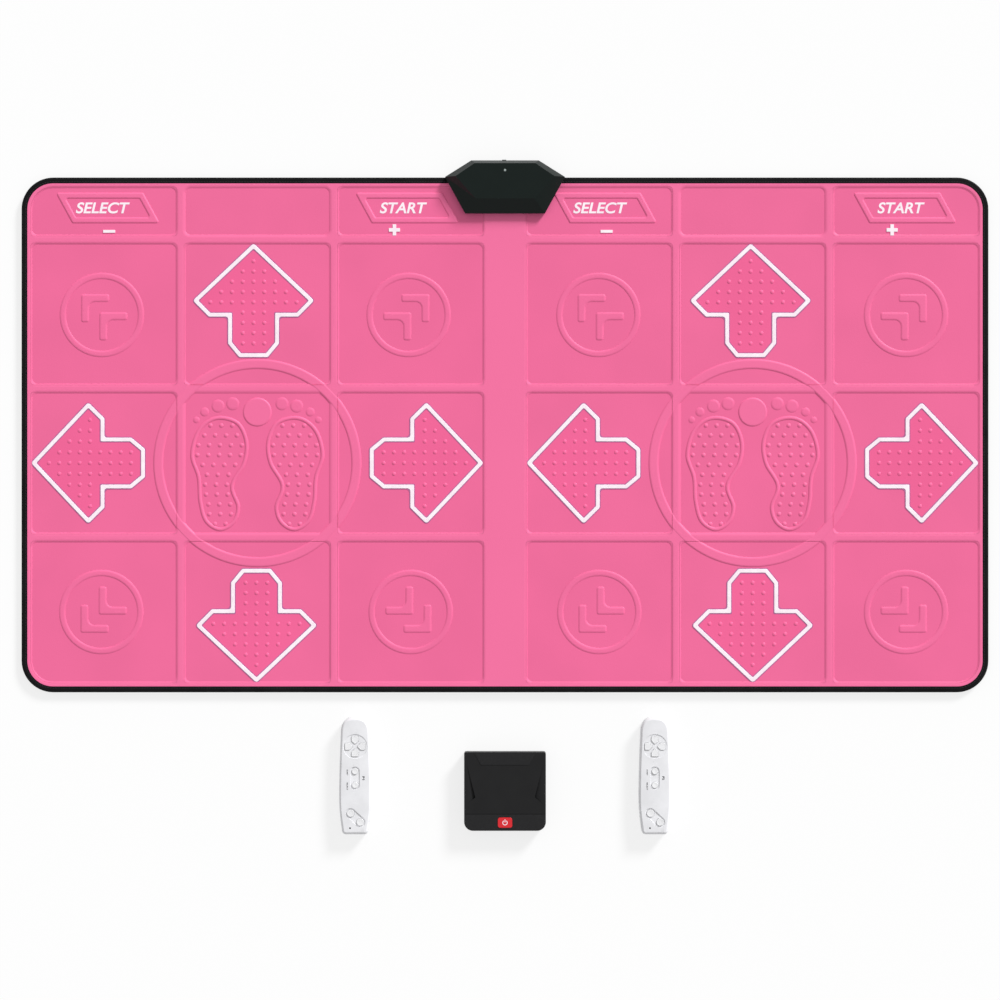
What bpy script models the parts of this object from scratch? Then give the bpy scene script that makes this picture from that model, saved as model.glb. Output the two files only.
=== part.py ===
"""A two-player dance mat with its receiver, two handsets and a console.

Metres, +Z up. The origin is on the floor at the centre of the mat, +X runs to the
second player's side and +Y to the edge that carries the receiver. The mat is a stack
of sheets in a sewn binding. Each step zone of its skin is cut free as a pad, which
sinks onto the contact film below. The handsets and the console lie in front of it.
"""

import math
from functools import partial

import bmesh
import bpy
from mathutils import Matrix

# Fits and meshing, shared by every piece
GAP = 0.0003            # between two pieces that lie on each other
SLIP = 0.0005           # round a piece that moves
OVERLAP = 0.0006        # by which joined bodies run into each other
PAST = 0.002            # by which a cutter passes the wall it cuts
MERGE = 0.000002        # welds the loose caps of a filled curve
FLAT_ANGLE = math.radians(25)
FACET_ANGLE = math.radians(8)

# The mat's plan
CELL_X = 0.2615         # pitch of the three columns of each player
CELL_Y = 0.254          # pitch of the three rows of step zones
LABEL_ROW = 0.096       # depth of the narrow row at the back
MIDDLE_BAND = 0.060     # between the two players' grids
BINDING_W = 0.010
MAT_CORNER_R = 0.054
MAT_CORNER_STEPS = 5
RIB_W = 0.010           # raised ribs between the zones
LEDGE_W = 0.001         # of the skin below each rib, on either side
CELL_CORNER_R = 0.004
COLUMNS = 3
ROWS = 3

# The mat's layers, from the floor up
BASE_T = 0.0015
FOAM_T = 0.0045
FILM_T = 0.0004
SPACER_T = 0.0015       # leaves each pad its way down to the film
SKIN_T = 0.0015
RIB_H = 0.0015          # by which a rib stands above a pad
BINDING_T = 0.0015
CONTACT_T = 0.0004      # contact plate under each pad
CONTACT_W = 0.150
LABEL_CONTACT_W = 0.050

# What is embossed on the pads
EMBOSS_H = 0.0012
RING_R = 0.0726         # ring on each corner pad
RING_W = 0.012
RING_STEPS = 18
CHEVRON_ARM = 0.047
CHEVRON_W = 0.011
CHEVRON_FIRST = 0.036   # from the ring's middle to the first chevron's corner, along each axis
CHEVRON_STEP = 0.031    # from there to the second one's
ARROW_HALF_W = 0.100
ARROW_TIP = 0.0965      # from the apex back to the widest point
ARROW_SHOULDER = 0.124  # from the apex back to the straight shoulder
ARROW_SHOULDER_X = 0.078
ARROW_LENGTH = 0.1915
STEM_HALF_W = 0.040
STEM_CHAMFER = 0.018
ARROW_LINE_W = 0.007
ARROW_EDGE = 0.0015     # from the apex to the pad's edge
CIRCLE_R = 0.178        # large circle round each player's footprints
CIRCLE_W = 0.014
CIRCLE_STEPS = 6
TAG_W = 0.150           # slanted label frames
TAG_H = 0.053
TAG_SLANT = 0.029
TAG_LINE_W = 0.011
TAG_RISE = 0.006        # of a frame above the middle of its row
TAG_SHIFT = {"select": 0.004, "start": -0.008}

# The footprints, about the middle of the player's grid
SOLE = (                # the right sole: its tip, down the inner side, the heel, up the outer side
    (0.0580, 0.0805),
    (0.0290, 0.0685),
    (0.0148, 0.0350),
    (0.0195, -0.0020),
    (0.0395, -0.0390),
    (0.0290, -0.0740),
    (0.0380, -0.1030),
    (0.0637, -0.1167),
    (0.0900, -0.1010),
    (0.1007, -0.0660),
    (0.1035, -0.0250),
    (0.1148, 0.0120),
    (0.1060, 0.0510),
    (0.0850, 0.0745),
)
SOLE_STEPS = 2          # stretches between two of those points
SOLE_LINE_W = 0.006
TOES = (                # x, y and radius of the right foot's small toes
    (0.0420, 0.1010, 0.0120),
    (0.0670, 0.0970, 0.0120),
    (0.0900, 0.0870, 0.0085),
    (0.1040, 0.0735, 0.0065),
)
BIG_TOE_Y = 0.087       # both big toes are one round
BIG_TOE_R = 0.025
TOE_STEPS = 8

# The receiver, astride the mat's back edge
RECEIVER_HALF_W = 0.102     # at the mat's edge, where it is widest
RECEIVER_FRONT_HALF_W = 0.068
RECEIVER_BACK_HALF_W = 0.0575
RECEIVER_FRONT_Y = -0.062   # from the mat's edge
RECEIVER_BACK_Y = 0.028
RECEIVER_PLATE_T = 0.003
RECEIVER_COVER_H = 0.021
RECEIVER_WALL = 0.002
FACET_FRONT = 0.024         # width of the sloping facets round the top face
FACET_SIDE = 0.018
FACET_BACK = 0.006
RIM_H = 0.006               # upright rim below the facets
LAMP_R = 0.0018
LAMP_STEPS = 12
LAMP_FROM_BACK = 0.018
TROUGH_D = 0.0150
TROUGH_WALL = 0.0018
TROUGH_CEILING = 0.0012
TROUGH_HALF_W = 0.0480
CELL_D = 0.0105             # the receiver's two batteries, end to end
CELL_L = 0.0445
CELL_NIB_L = 0.0010
CELL_NIB_R = 0.0021
CELL_STEPS = 12
SWITCH_W = 0.007
SWITCH_H = 0.003
SWITCH_D = 0.003            # of the knob inside the wall
SWITCH_TRAVEL = 0.003
SWITCH_PROUD = 0.0012
BOARD_T = 0.0016            # circuit boards
CHIP_W = 0.020
CHIP_H = 0.0016

# Sliding battery doors: a face, and a wider flange that runs in a groove
DOOR_FACE_T = 0.0008
DOOR_FLANGE_T = 0.0008
DOOR_FLANGE_W = 0.0012
DOOR_DRAFT = 0.0002         # by which the flange's underside slopes

# The handsets
HANDSET_L = 0.200
HANDSET_H = 0.027
HANDSET_X = 0.255
HANDSET_Y = -0.580
SHOULDER_HALF_W = 0.0245    # where the rounded nose begins
NOSE_L = 0.030
BELLY_HALF_W = 0.0272       # the widest place
BELLY_FROM_TAIL = 0.060
TAIL_HALF_W = 0.0225
TAIL_R = 0.007
NOSE_POWER = 2.5            # of the superellipse at the nose
NOSE_STEPS = 5
SIDE_STEPS = 5
TAIL_STEPS = 3
HANDSET_PARTING = 0.0125
HANDSET_WALL = 0.0020
HANDSET_FLOOR_T = 0.0034
UPPER_ROUND = 0.0060
LOWER_ROUND = 0.0050
KEY_PROUD = 0.0013
KEY_TRAVEL = 0.0010
KEY_FLANGE_W = 0.0012
KEY_FLANGE_T = 0.0010
KEY_STEPS = 12
CROSS_FROM_NOSE = 0.050     # middle of the direction keys
CROSS_REACH = 0.0173
CROSS_HALF_W = 0.0061
CROSS_TIP = 0.0034
CROSS_DISH_R = 0.0208
DISH_DEPTH = 0.0006
MENU_Y = -0.004             # middle of the two menu keys
MENU_PITCH = 0.0235
MENU_KEY_R = 0.0054
MENU_POCKET_R = 0.0080
ACTION_KEY_R = 0.0064
ACTION_POCKET_R = 0.0088
ACTION_A_X = -0.0075
ACTION_A_FROM_TAIL = 0.0363
ACTION_B_X = 0.0088
ACTION_B_FROM_TAIL = 0.0212
POCKET_DEPTH = 0.0009
HANDSET_LAMP_R = 0.0012
HANDSET_LAMP_X = -0.0085
HANDSET_LAMP_FROM_TAIL = 0.0110
HANDSET_BOARD_Z = 0.0165
HANDSET_BOARD_W = 0.036
HANDSET_BOARD_INSET = 0.014 # from either end of the handset
DOME_R = 0.0028
BOSS_R = 0.0028
POST_STEPS = 6              # sides of a dome or a boss
BOSS_X = 0.0145
BOSS_FROM_END = 0.0335
HANDSET_DOOR_W = 0.0250
HANDSET_DOOR_L = 0.084
BAY_L = 0.051               # battery bay: two cells side by side
BAY_W = 0.0216
BAY_TOP = 0.0132
BAY_WALL = 0.0012
BAY_FROM_DOOR_END = 0.006
GRIP_LINES = 4
GRIP_PITCH = 0.0022

# The console
CONSOLE_W = 0.139
CONSOLE_D = 0.134
CONSOLE_H = 0.029
CONSOLE_Y = -0.6065
CONSOLE_PARTING = 0.0150
CONSOLE_WALL = 0.0022
CONSOLE_FOOT_H = 0.0015
CONSOLE_FOOT_R = 0.006
CONSOLE_FOOT_STEPS = 12
CONSOLE_BOSS_R = 0.003
CONSOLE_BOSS_H = 0.002
FRONT_CORNER_R = 0.0150
BACK_CORNER_R = 0.0035
CONSOLE_CORNER_STEPS = 4
TOP_BEVEL = 0.0016
STRIP_D = 0.028             # textured strip along the front
STRIP_GROOVE = 0.0008
PANEL_BACK_HALF_W = 0.0515  # raised trapezoid at the back
PANEL_FRONT_HALF_W = 0.0410
PANEL_D = 0.0195
PANEL_FROM_BACK = 0.0025
PANEL_RISE = 0.0007
SCOOP_X = 0.0650            # outer edge of the wedge-shaped scoop in each side
SCOOP_BACK_Y = 0.047
SCOOP_FRONT_Y = -0.022
SCOOP_ELBOW_X = 0.0505
SCOOP_ELBOW_Y = -0.010
SCOOP_DEPTH = 0.0050
BADGE_W = 0.0245
BADGE_D = 0.0175
BADGE_CORNER_R = 0.004
BADGE_CORNER_STEPS = 3
BADGE_PROUD = 0.0008
BADGE_TRAVEL = 0.0010
STEM_R = 0.002
STEM_STEPS = 8
TACT_W = 0.006
TACT_H = 0.0043
JACK_R = 0.0017
JACK_STEPS = 10
JACK_PITCH = 0.016
JACK_RISE = 0.0032          # of a socket's axis above the board
SOCKET_W = 0.009
SOCKET_D = 0.012
SOCKET_BORE_D = 0.010
SUPPLY_SLOT_W = 0.0078
SUPPLY_SLOT_H = 0.0028

# Worked out from the above
MAT_W = MIDDLE_BAND + 2 * COLUMNS * CELL_X + 2 * BINDING_W
MAT_D = ROWS * CELL_Y + LABEL_ROW + 2 * BINDING_W
HALF_W = MAT_W / 2
HALF_D = MAT_D / 2
FOAM_Z = BASE_T + GAP
FILM_Z = FOAM_Z + FOAM_T + GAP
SPACER_Z = FILM_Z + FILM_T + GAP
SKIN_Z = SPACER_Z + SPACER_T + GAP
PAD_TOP = SKIN_Z + SKIN_T
RIB_TOP = PAD_TOP + RIB_H
LIP_Z = PAD_TOP + GAP
BINDING_TOP = LIP_Z + BINDING_T
ROW_LINES = [-HALF_D + BINDING_W + CELL_Y * row for row in range(ROWS + 1)]
ROW_LINES.append(HALF_D - BINDING_W)
WINDOW_INSET = RIB_W / 2 + LEDGE_W
PAD_INSET = WINDOW_INSET + SLIP
LAYER_INSET = BINDING_T + GAP

PINK = ("pink_skin", (0.87, 0.19, 0.37), 0.55, 0.0)
BLACK_CLOTH = ("black_binding", (0.012, 0.012, 0.014), 0.75, 0.0)
FOAM = ("grey_foam", (0.30, 0.30, 0.31), 0.9, 0.0)
RUBBER = ("underside_rubber", (0.03, 0.03, 0.033), 0.85, 0.0)
FILM = ("contact_film", (0.75, 0.77, 0.78), 0.3, 0.0)
SPACER = ("spacer_foam", (0.82, 0.82, 0.80), 0.9, 0.0)
BLACK_SHELL = ("black_shell", (0.018, 0.02, 0.021), 0.38, 0.0)
WHITE_SHELL = ("white_shell", (0.83, 0.83, 0.84), 0.3, 0.0)
WHITE_KEY = ("white_key", (0.80, 0.80, 0.80), 0.35, 0.0)
BOARD = ("circuit_board", (0.02, 0.13, 0.06), 0.45, 0.0)
JACKET = ("battery_jacket", (0.10, 0.32, 0.14), 0.3, 0.4)
RED_KEY = ("red_badge", (0.72, 0.02, 0.02), 0.3, 0.0)


def empty_scene():
    """Removes what a new file holds, and makes the collection for the parts."""
    for old in list(bpy.data.objects):
        bpy.data.objects.remove(old, do_unlink=True)
    parts = bpy.data.collections.new("dance_mat_set")
    bpy.context.scene.collection.children.link(parts)
    return parts


PARTS = empty_scene()


def material(finish):
    """The Principled material of that finish, made once."""
    name, colour, roughness, metallic = finish
    made = bpy.data.materials.get(name)
    if made is None:
        made = bpy.data.materials.new(name)
        made.use_nodes = True
        shader = made.node_tree.nodes["Principled BSDF"]
        shader.inputs["Base Color"].default_value = (*colour, 1.0)
        shader.inputs["Roughness"].default_value = roughness
        shader.inputs["Metallic"].default_value = metallic
        made.diffuse_color = (*colour, 1.0)
    return made


def add_object(name, mesh):
    obj = bpy.data.objects.new(name, mesh)
    PARTS.objects.link(obj)
    return obj


def edit(obj, change):
    """Runs change on a bmesh of the object, and writes it back."""
    work = bmesh.new()
    work.from_mesh(obj.data)
    change(work)
    work.to_mesh(obj.data)
    work.free()
    return obj


def flat_solid(name, outlines, low, high):
    """A plate from low to high. The first outline is its edge, and any others inside are holes."""
    curve = bpy.data.curves.new(name, "CURVE")
    curve.dimensions = "2D"
    curve.fill_mode = "BOTH"
    curve.extrude = (high - low) / 2
    for outline in outlines:
        spline = curve.splines.new("POLY")
        spline.points.add(len(outline) - 1)
        for point, (x, y) in zip(spline.points, outline):
            point.co = (x, y, 0.0, 1.0)
        spline.use_cyclic_u = True
    guide = add_object(name + "_outline", curve)
    guide.location.z = (low + high) / 2
    bpy.context.view_layer.update()
    evaluated = guide.evaluated_get(bpy.context.evaluated_depsgraph_get())
    mesh = bpy.data.meshes.new_from_object(evaluated)
    mesh.transform(guide.matrix_world)
    bpy.data.objects.remove(guide, do_unlink=True)
    solid = add_object(name, mesh)

    def weld(work):
        bmesh.ops.remove_doubles(work, verts=work.verts, dist=MERGE)
        bmesh.ops.dissolve_limit(
            work, angle_limit=math.radians(0.1), verts=work.verts, edges=work.edges
        )
        bmesh.ops.recalc_face_normals(work, faces=work.faces)

    return edit(solid, weld)


def apply_modifier(obj, modifier):
    bpy.context.view_layer.objects.active = obj
    bpy.ops.object.modifier_apply(modifier=modifier.name)
    return obj


def combine(base, other, operation):
    """Joins other to base, or cuts it out, and removes other."""
    boolean = base.modifiers.new(operation.lower(), "BOOLEAN")
    boolean.operation = operation
    boolean.object = other
    apply_modifier(base, boolean)
    bpy.data.objects.remove(other, do_unlink=True)
    return base


def join(base, *others):
    for other in others:
        combine(base, other, "UNION")
    return base


def cut(base, *cutters):
    for cutter in cutters:
        combine(base, cutter, "DIFFERENCE")
    return base


def round_rim(obj, height, width, segments):
    """Rounds the sharp rim of the flat face at that height."""

    def bevel(work):
        rim = []
        for edge in work.edges:
            level = all(abs(v.co.z - height) < MERGE for v in edge.verts)
            if level and len(edge.link_faces) == 2 and edge.calc_face_angle() > FLAT_ANGLE:
                rim.append(edge)
        bmesh.ops.bevel(
            work,
            geom=rim,
            offset=width,
            segments=segments,
            profile=0.5,
            affect="EDGES",
            clamp_overlap=True,
        )

    return edit(obj, bevel)


def taken_in(name, shape):
    """Bakes the active primitive's placing into its mesh, and files it with the parts."""
    solid = bpy.context.active_object
    solid.name = name
    solid.data.transform(shape)
    for collection in list(solid.users_collection):
        collection.objects.unlink(solid)
    PARTS.objects.link(solid)
    return solid


def cylinder(name, radius, low, high, place, steps):
    bpy.ops.mesh.primitive_cylinder_add(vertices=steps, radius=radius, depth=high - low)
    return taken_in(name, Matrix.Translation((*place, (low + high) / 2)))


def box(name, x, y, z):
    """A box between two x, two y and two z values."""
    bpy.ops.mesh.primitive_cube_add(size=1.0)
    size = Matrix.Diagonal((x[1] - x[0], y[1] - y[0], z[1] - z[0], 1.0))
    return taken_in(name, Matrix.Translation((sum(x) / 2, sum(y) / 2, sum(z) / 2)) @ size)


def finished(obj, finish, angle=FLAT_ANGLE):
    """Gives the piece its material and shades its round faces smooth."""
    obj.data.materials.clear()
    obj.data.materials.append(material(finish))
    obj.data.shade_smooth()
    obj.data.set_sharp_from_angle(angle=angle)
    return obj


def set_origin(obj, origin):
    """Moves the object's origin to a point of its joint, and leaves its mesh where it is."""
    obj.data.transform(Matrix.Translation(origin).inverted())
    obj.location = origin
    return obj


def carried(obj, unit, origin=(0.0, 0.0, 0.0)):
    """Gives a piece that was modelled in its unit's own frame to the unit's empty."""
    set_origin(obj, origin).parent = unit
    return obj


def unit_at(name, place):
    """The empty that carries a whole unit, and on which it is lifted away."""
    pivot = bpy.data.objects.new(name, None)
    pivot.location = place
    pivot.empty_display_size = 0.01
    PARTS.objects.link(pivot)
    return pivot


def rounded_rect(x0, x1, y0, y1, radii, steps):
    """Corners run from (x0, y0) round by (x1, y0), each with its own radius and steps."""
    corners = [(x0, y0, 180), (x1, y0, 270), (x1, y1, 0), (x0, y1, 90)]
    inward = [(1, 1), (-1, 1), (-1, -1), (1, -1)]
    points = []
    for (x, y, start), (sx, sy), radius, count in zip(corners, inward, radii, steps):
        if radius == 0.0:
            points.append((x, y))
            continue
        for k in range(count + 1):
            angle = math.radians(start + 90 * k / count)
            points.append(
                (
                    x + sx * radius + radius * math.cos(angle),
                    y + sy * radius + radius * math.sin(angle),
                )
            )
    return points


def circle(radius, steps, place=(0.0, 0.0)):
    turn = [math.tau * k / steps for k in range(steps)]
    return [(place[0] + radius * math.cos(a), place[1] + radius * math.sin(a)) for a in turn]


def moved(points, dx, dy):
    return [(x + dx, y + dy) for x, y in points]


def turned(points, quarter_turns):
    for _ in range(quarter_turns % 4):
        points = [(-y, x) for x, y in points]
    return points


def inset(points, distance):
    """A closed outline, run anticlockwise, drawn in by a distance with mitred corners."""
    made = []
    count = len(points)
    for k in range(count):
        (ax, ay), (bx, by), (cx, cy) = points[k - 1], points[k], points[(k + 1) % count]
        before = math.atan2(by - ay, bx - ax)
        after = math.atan2(cy - by, cx - bx)
        half = math.remainder(after - before, math.tau) / 2
        direction = before + half + math.pi / 2
        reach = distance / math.cos(half)
        made.append((bx + reach * math.cos(direction), by + reach * math.sin(direction)))
    return made


# The mat's plan: player is -1 on the left and 1 on the right, column 0 is the outer left

def column_lines(player):
    middle = player * (MIDDLE_BAND / 2 + COLUMNS * CELL_X / 2)
    return [middle + CELL_X * (k - COLUMNS / 2) for k in range(COLUMNS + 1)]


def zone_outline(player, column, row, inward, corner_r=CELL_CORNER_R):
    """The outline of one zone, drawn in from the middle of the ribs round it."""
    x = column_lines(player)[column:column + 2]
    y = ROW_LINES[row:row + 2]
    radii = []
    steps = []
    for cx, cy in ((x[0], y[0]), (x[1], y[0]), (x[1], y[1]), (x[0], y[1])):
        outer = abs(cx) > HALF_W - BINDING_W - GAP
        outer = outer and abs(cy) > HALF_D - BINDING_W - GAP
        radii.append(MAT_CORNER_R - BINDING_W - inward if outer else corner_r)
        steps.append(MAT_CORNER_STEPS if outer else 1)
    return rounded_rect(x[0] + inward, x[1] - inward, y[0] + inward, y[1] - inward, radii, steps)


def zone_middle(player, column, row):
    lines = column_lines(player)
    return (lines[column] + lines[column + 1]) / 2, (ROW_LINES[row] + ROW_LINES[row + 1]) / 2


LEFT, MIDDLE, RIGHT = range(COLUMNS)
FRONT, CENTRE, BACK, LABELS = range(ROWS + 1)
ZONES = {
    "up": (MIDDLE, BACK),
    "down": (MIDDLE, FRONT),
    "left": (LEFT, CENTRE),
    "right": (RIGHT, CENTRE),
    "upper_left": (LEFT, BACK),
    "upper_right": (RIGHT, BACK),
    "lower_left": (LEFT, FRONT),
    "lower_right": (RIGHT, FRONT),
    "select": (LEFT, LABELS),
    "start": (RIGHT, LABELS),
}
FIXED_ZONES = {"centre": (MIDDLE, CENTRE), "blank": (MIDDLE, LABELS)}
PLAYERS = {"p1": -1, "p2": 1}


def sheet_outline(inward):
    return rounded_rect(
        -HALF_W + inward,
        HALF_W - inward,
        -HALF_D + inward,
        HALF_D - inward,
        [MAT_CORNER_R - inward] * 4,
        [MAT_CORNER_STEPS] * 4,
    )


def windowed_sheet(name, edge_inset, window_inset, zones, low, high, corner_r=CELL_CORNER_R):
    """A sheet on the mat's outline, with a window for each of those zones of both players."""
    sheet = flat_solid(name, [sheet_outline(edge_inset)], low, high)
    outlines = [
        zone_outline(player, column, row, window_inset, corner_r)
        for player in PLAYERS.values()
        for column, row in zones.values()
    ]
    return cut(sheet, flat_solid("windows", outlines, low - PAST, high + PAST))


def make_sheets():
    """The stack under the skin: underside, foam, contact film and spacer."""
    base = flat_solid("base_sheet", [sheet_outline(BINDING_W + GAP)], 0.0, BASE_T)
    finished(base, RUBBER)
    foam = flat_solid("foam_core", [sheet_outline(LAYER_INSET)], FOAM_Z, FOAM_Z + FOAM_T)
    finished(foam, FOAM)
    film = flat_solid("contact_film", [sheet_outline(LAYER_INSET)], FILM_Z, FILM_Z + FILM_T)
    finished(film, FILM)
    spacer = windowed_sheet(
        "spacer_sheet", LAYER_INSET, WINDOW_INSET, ZONES, SPACER_Z, SPACER_Z + SPACER_T, 0.0
    )
    finished(spacer, SPACER)


def make_binding():
    """The sewn edge tape: a channel that grips every sheet but the underside."""
    binding = flat_solid("edge_binding", [sheet_outline(0.0)], 0.0, BINDING_TOP)
    round_rim(binding, BINDING_TOP, BINDING_T, 2)
    round_rim(binding, 0.0, BINDING_T / 2, 1)
    opening = flat_solid("opening", [sheet_outline(BINDING_W)], -PAST, BINDING_TOP + PAST)
    slot = flat_solid("slot", [sheet_outline(BINDING_T)], BASE_T, LIP_Z)
    cut(binding, opening, slot)
    finished(binding, BLACK_CLOTH)


def smooth_loop(points, steps):
    """A closed curve through the points, by Catmull and Rom's rule."""
    made = []
    for k, (x1, y1) in enumerate(points):
        x0, y0 = points[k - 1]
        x2, y2 = points[(k + 1) % len(points)]
        x3, y3 = points[(k + 2) % len(points)]
        for step in range(steps):
            t = step / steps
            shares = (
                (-t + 2 * t**2 - t**3) / 2,
                (2 - 5 * t**2 + 3 * t**3) / 2,
                (t + 4 * t**2 - 3 * t**3) / 2,
                (-(t**2) + t**3) / 2,
            )
            x = sum(share * value for share, value in zip(shares, (x0, x1, x2, x3)))
            y = sum(share * value for share, value in zip(shares, (y0, y1, y2, y3)))
            made.append((x, y))
    return made


def mirrored(points):
    """The outline on the other side of X = 0, still anticlockwise."""
    return [(-x, y) for x, y in reversed(points)]


def footprint_outlines():
    """Two bare soles as lines, with their toes, the two big toes as one round."""
    sole = smooth_loop(SOLE, SOLE_STEPS)
    right = [sole, inset(sole, SOLE_LINE_W)]
    right += [circle(radius, TOE_STEPS, (x, y)) for x, y, radius in TOES]
    left = [mirrored(outline) for outline in right]
    return [*right, *left, circle(BIG_TOE_R, 2 * TOE_STEPS, (0.0, BIG_TOE_Y))]


def emboss(outlines):
    """Raised figures on the pads' level, with sloping sides."""
    high = PAD_TOP + EMBOSS_H
    figure = flat_solid("figure", outlines, PAD_TOP - OVERLAP, high)
    return round_rim(figure, high, EMBOSS_H + OVERLAP / 2, 1)


def make_skin():
    """The moulded skin: thin floor, ribs between the zones, and the two fixed panels of each player."""
    skin = windowed_sheet("top_skin", LAYER_INSET, WINDOW_INSET, ZONES, SKIN_Z, PAD_TOP)
    every_zone = {**ZONES, **FIXED_ZONES}
    ribs = windowed_sheet(
        "ribs", BINDING_W + GAP, RIB_W / 2, every_zone, PAD_TOP - OVERLAP, RIB_TOP
    )
    round_rim(ribs, RIB_TOP, RIB_H + OVERLAP / 2, 1)
    join(skin, ribs)
    for player in PLAYERS.values():
        x, y = zone_middle(player, *FIXED_ZONES["centre"])
        join(skin, emboss([moved(outline, x, y) for outline in footprint_outlines()]))
    finished(skin, PINK)


def chevron(corner_x, corner_y, sx, sy):
    """An L whose corner points outwards, away from the middle of its ring."""
    arm, wide = CHEVRON_ARM, CHEVRON_W
    points = [(0, 0), (arm, 0), (arm, wide), (wide, wide), (wide, arm), (0, arm)]
    points = [(corner_x - sx * x, corner_y - sy * y) for x, y in points]
    return points if sx * sy > 0 else points[::-1]


def corner_figures(sx, sy):
    """A ring round two chevrons that point to the zone's outer corner."""
    ring = emboss([circle(RING_R, RING_STEPS), circle(RING_R - RING_W, RING_STEPS)])
    first = CHEVRON_FIRST
    second = first - CHEVRON_STEP
    return [
        ring,
        emboss([chevron(sx * first, sy * first, sx, sy)]),
        emboss([chevron(sx * second, sy * second, sx, sy)]),
    ]


def arrow_outline():
    """An arrow that points to +Y, with its apex at the origin, run anticlockwise."""
    right = [
        (STEM_HALF_W - STEM_CHAMFER, -ARROW_LENGTH),
        (STEM_HALF_W, -ARROW_LENGTH + STEM_CHAMFER),
        (STEM_HALF_W, -ARROW_SHOULDER),
        (ARROW_SHOULDER_X, -ARROW_SHOULDER),
        (ARROW_HALF_W, -ARROW_TIP),
    ]
    left = [(-x, y) for x, y in reversed(right)]
    return [*right, (0.0, 0.0), *left]


def circle_arc(quarter_turns):
    """The part of the large circle that crosses the pad on that side of its middle."""
    across = {0: CELL_X, 1: CELL_Y, 2: CELL_X, 3: CELL_Y}[quarter_turns]
    ahead = {0: CELL_Y, 1: CELL_X, 2: CELL_Y, 3: CELL_X}[quarter_turns]
    edge = across / 2 - PAD_INSET - OVERLAP
    foot = ahead / 2 + PAD_INSET + OVERLAP

    def stretch(radius):
        end = min(math.asin(edge / radius), math.acos(foot / radius))
        return [
            (radius * math.sin(end * t), radius * math.cos(end * t))
            for t in (1 - 2 * k / CIRCLE_STEPS for k in range(CIRCLE_STEPS + 1))
        ]

    outer = stretch(CIRCLE_R)
    inner = stretch(CIRCLE_R - CIRCLE_W)
    return turned([*outer, *reversed(inner)], quarter_turns)


def arrow_figures(zone):
    """The arrow's outline, and the arc of the large circle that crosses the pad."""
    turns = {"up": 0, "left": 1, "down": 2, "right": 3}[zone]
    ahead = CELL_X if turns % 2 else CELL_Y
    apex = ahead / 2 - PAD_INSET - ARROW_EDGE
    outline = moved(arrow_outline(), 0.0, apex)
    line = [turned(outline, turns), turned(inset(outline, ARROW_LINE_W), turns)]
    arc = moved(circle_arc(turns), *turned([(0.0, -ahead)], turns)[0])
    return [emboss(line), emboss([arc])]


def tag_figures(zone):
    """A slanted frame for the label of the narrow pads."""
    w, h, s = TAG_W / 2, TAG_H / 2, TAG_SLANT / 2
    frame = [(-w + s, -h), (w + s, -h), (w - s, h), (-w - s, h)]
    frame = moved(frame, TAG_SHIFT[zone], TAG_RISE)
    return [emboss([frame, inset(frame, TAG_LINE_W)])]


def pad_figures(zone):
    if zone in ("up", "down", "left", "right"):
        return arrow_figures(zone)
    if zone in TAG_SHIFT:
        return tag_figures(zone)
    vertical, horizontal = zone.split("_")
    return corner_figures(1 if horizontal == "right" else -1, 1 if vertical == "upper" else -1)


def make_pad(name, player, zone):
    """One step zone of the skin, with its contact plate below and its figure on top."""
    column, row = ZONES[zone]
    x, y = zone_middle(player, column, row)
    outline = zone_outline(player, column, row, PAD_INSET)
    pad = flat_solid(name, [moved(outline, -x, -y)], SKIN_Z, PAD_TOP)
    reach = (LABEL_CONTACT_W if row == LABELS else CONTACT_W) / 2
    contact = box("contact", (-reach, reach), (-reach, reach), (SKIN_Z - CONTACT_T, SKIN_Z + OVERLAP))
    join(pad, contact, *pad_figures(zone))
    finished(pad, PINK)
    pad.location = (x, y, 0.0)


def along_y(name, profile, low, high):
    """A bar between two y values, whose section is drawn in X and Z."""
    bar = flat_solid(name, [profile], -high, -low)
    bar.data.transform(Matrix.Rotation(math.radians(90), 4, "X"))
    return bar


DOOR_STEP_Z = GAP + DOOR_FACE_T
DOOR_TOP = DOOR_STEP_Z + DOOR_FLANGE_T
CHANNEL_TOP = DOOR_TOP + GAP


def door_section(half_w, low, step, top):
    wide = half_w + DOOR_FLANGE_W
    right = [(half_w, low), (half_w, step), (wide, step + DOOR_DRAFT), (wide, top)]
    return [*right, *[(-x, z) for x, z in reversed(right)]]


def sliding_door(name, half_w, low, high):
    """A battery door just clear of the floor, between two y values."""
    return along_y(name, door_section(half_w, GAP, DOOR_STEP_Z, DOOR_TOP), low, high)


def door_channel(half_w, low, high):
    """Cuts the way that a sliding door's face and flange run in."""
    section = door_section(half_w + SLIP, -PAST, DOOR_STEP_Z - GAP, CHANNEL_TOP)
    return along_y("channel", section, low, high)


def receiver_plan(inward):
    """The receiver's six-sided outline, anticlockwise from its front left corner."""
    points = [
        (-RECEIVER_FRONT_HALF_W, HALF_D + RECEIVER_FRONT_Y),
        (RECEIVER_FRONT_HALF_W, HALF_D + RECEIVER_FRONT_Y),
        (RECEIVER_HALF_W, HALF_D),
        (RECEIVER_BACK_HALF_W, HALF_D + RECEIVER_BACK_Y),
        (-RECEIVER_BACK_HALF_W, HALF_D + RECEIVER_BACK_Y),
        (-RECEIVER_HALF_W, HALF_D),
    ]
    return inset(points, inward)


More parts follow.
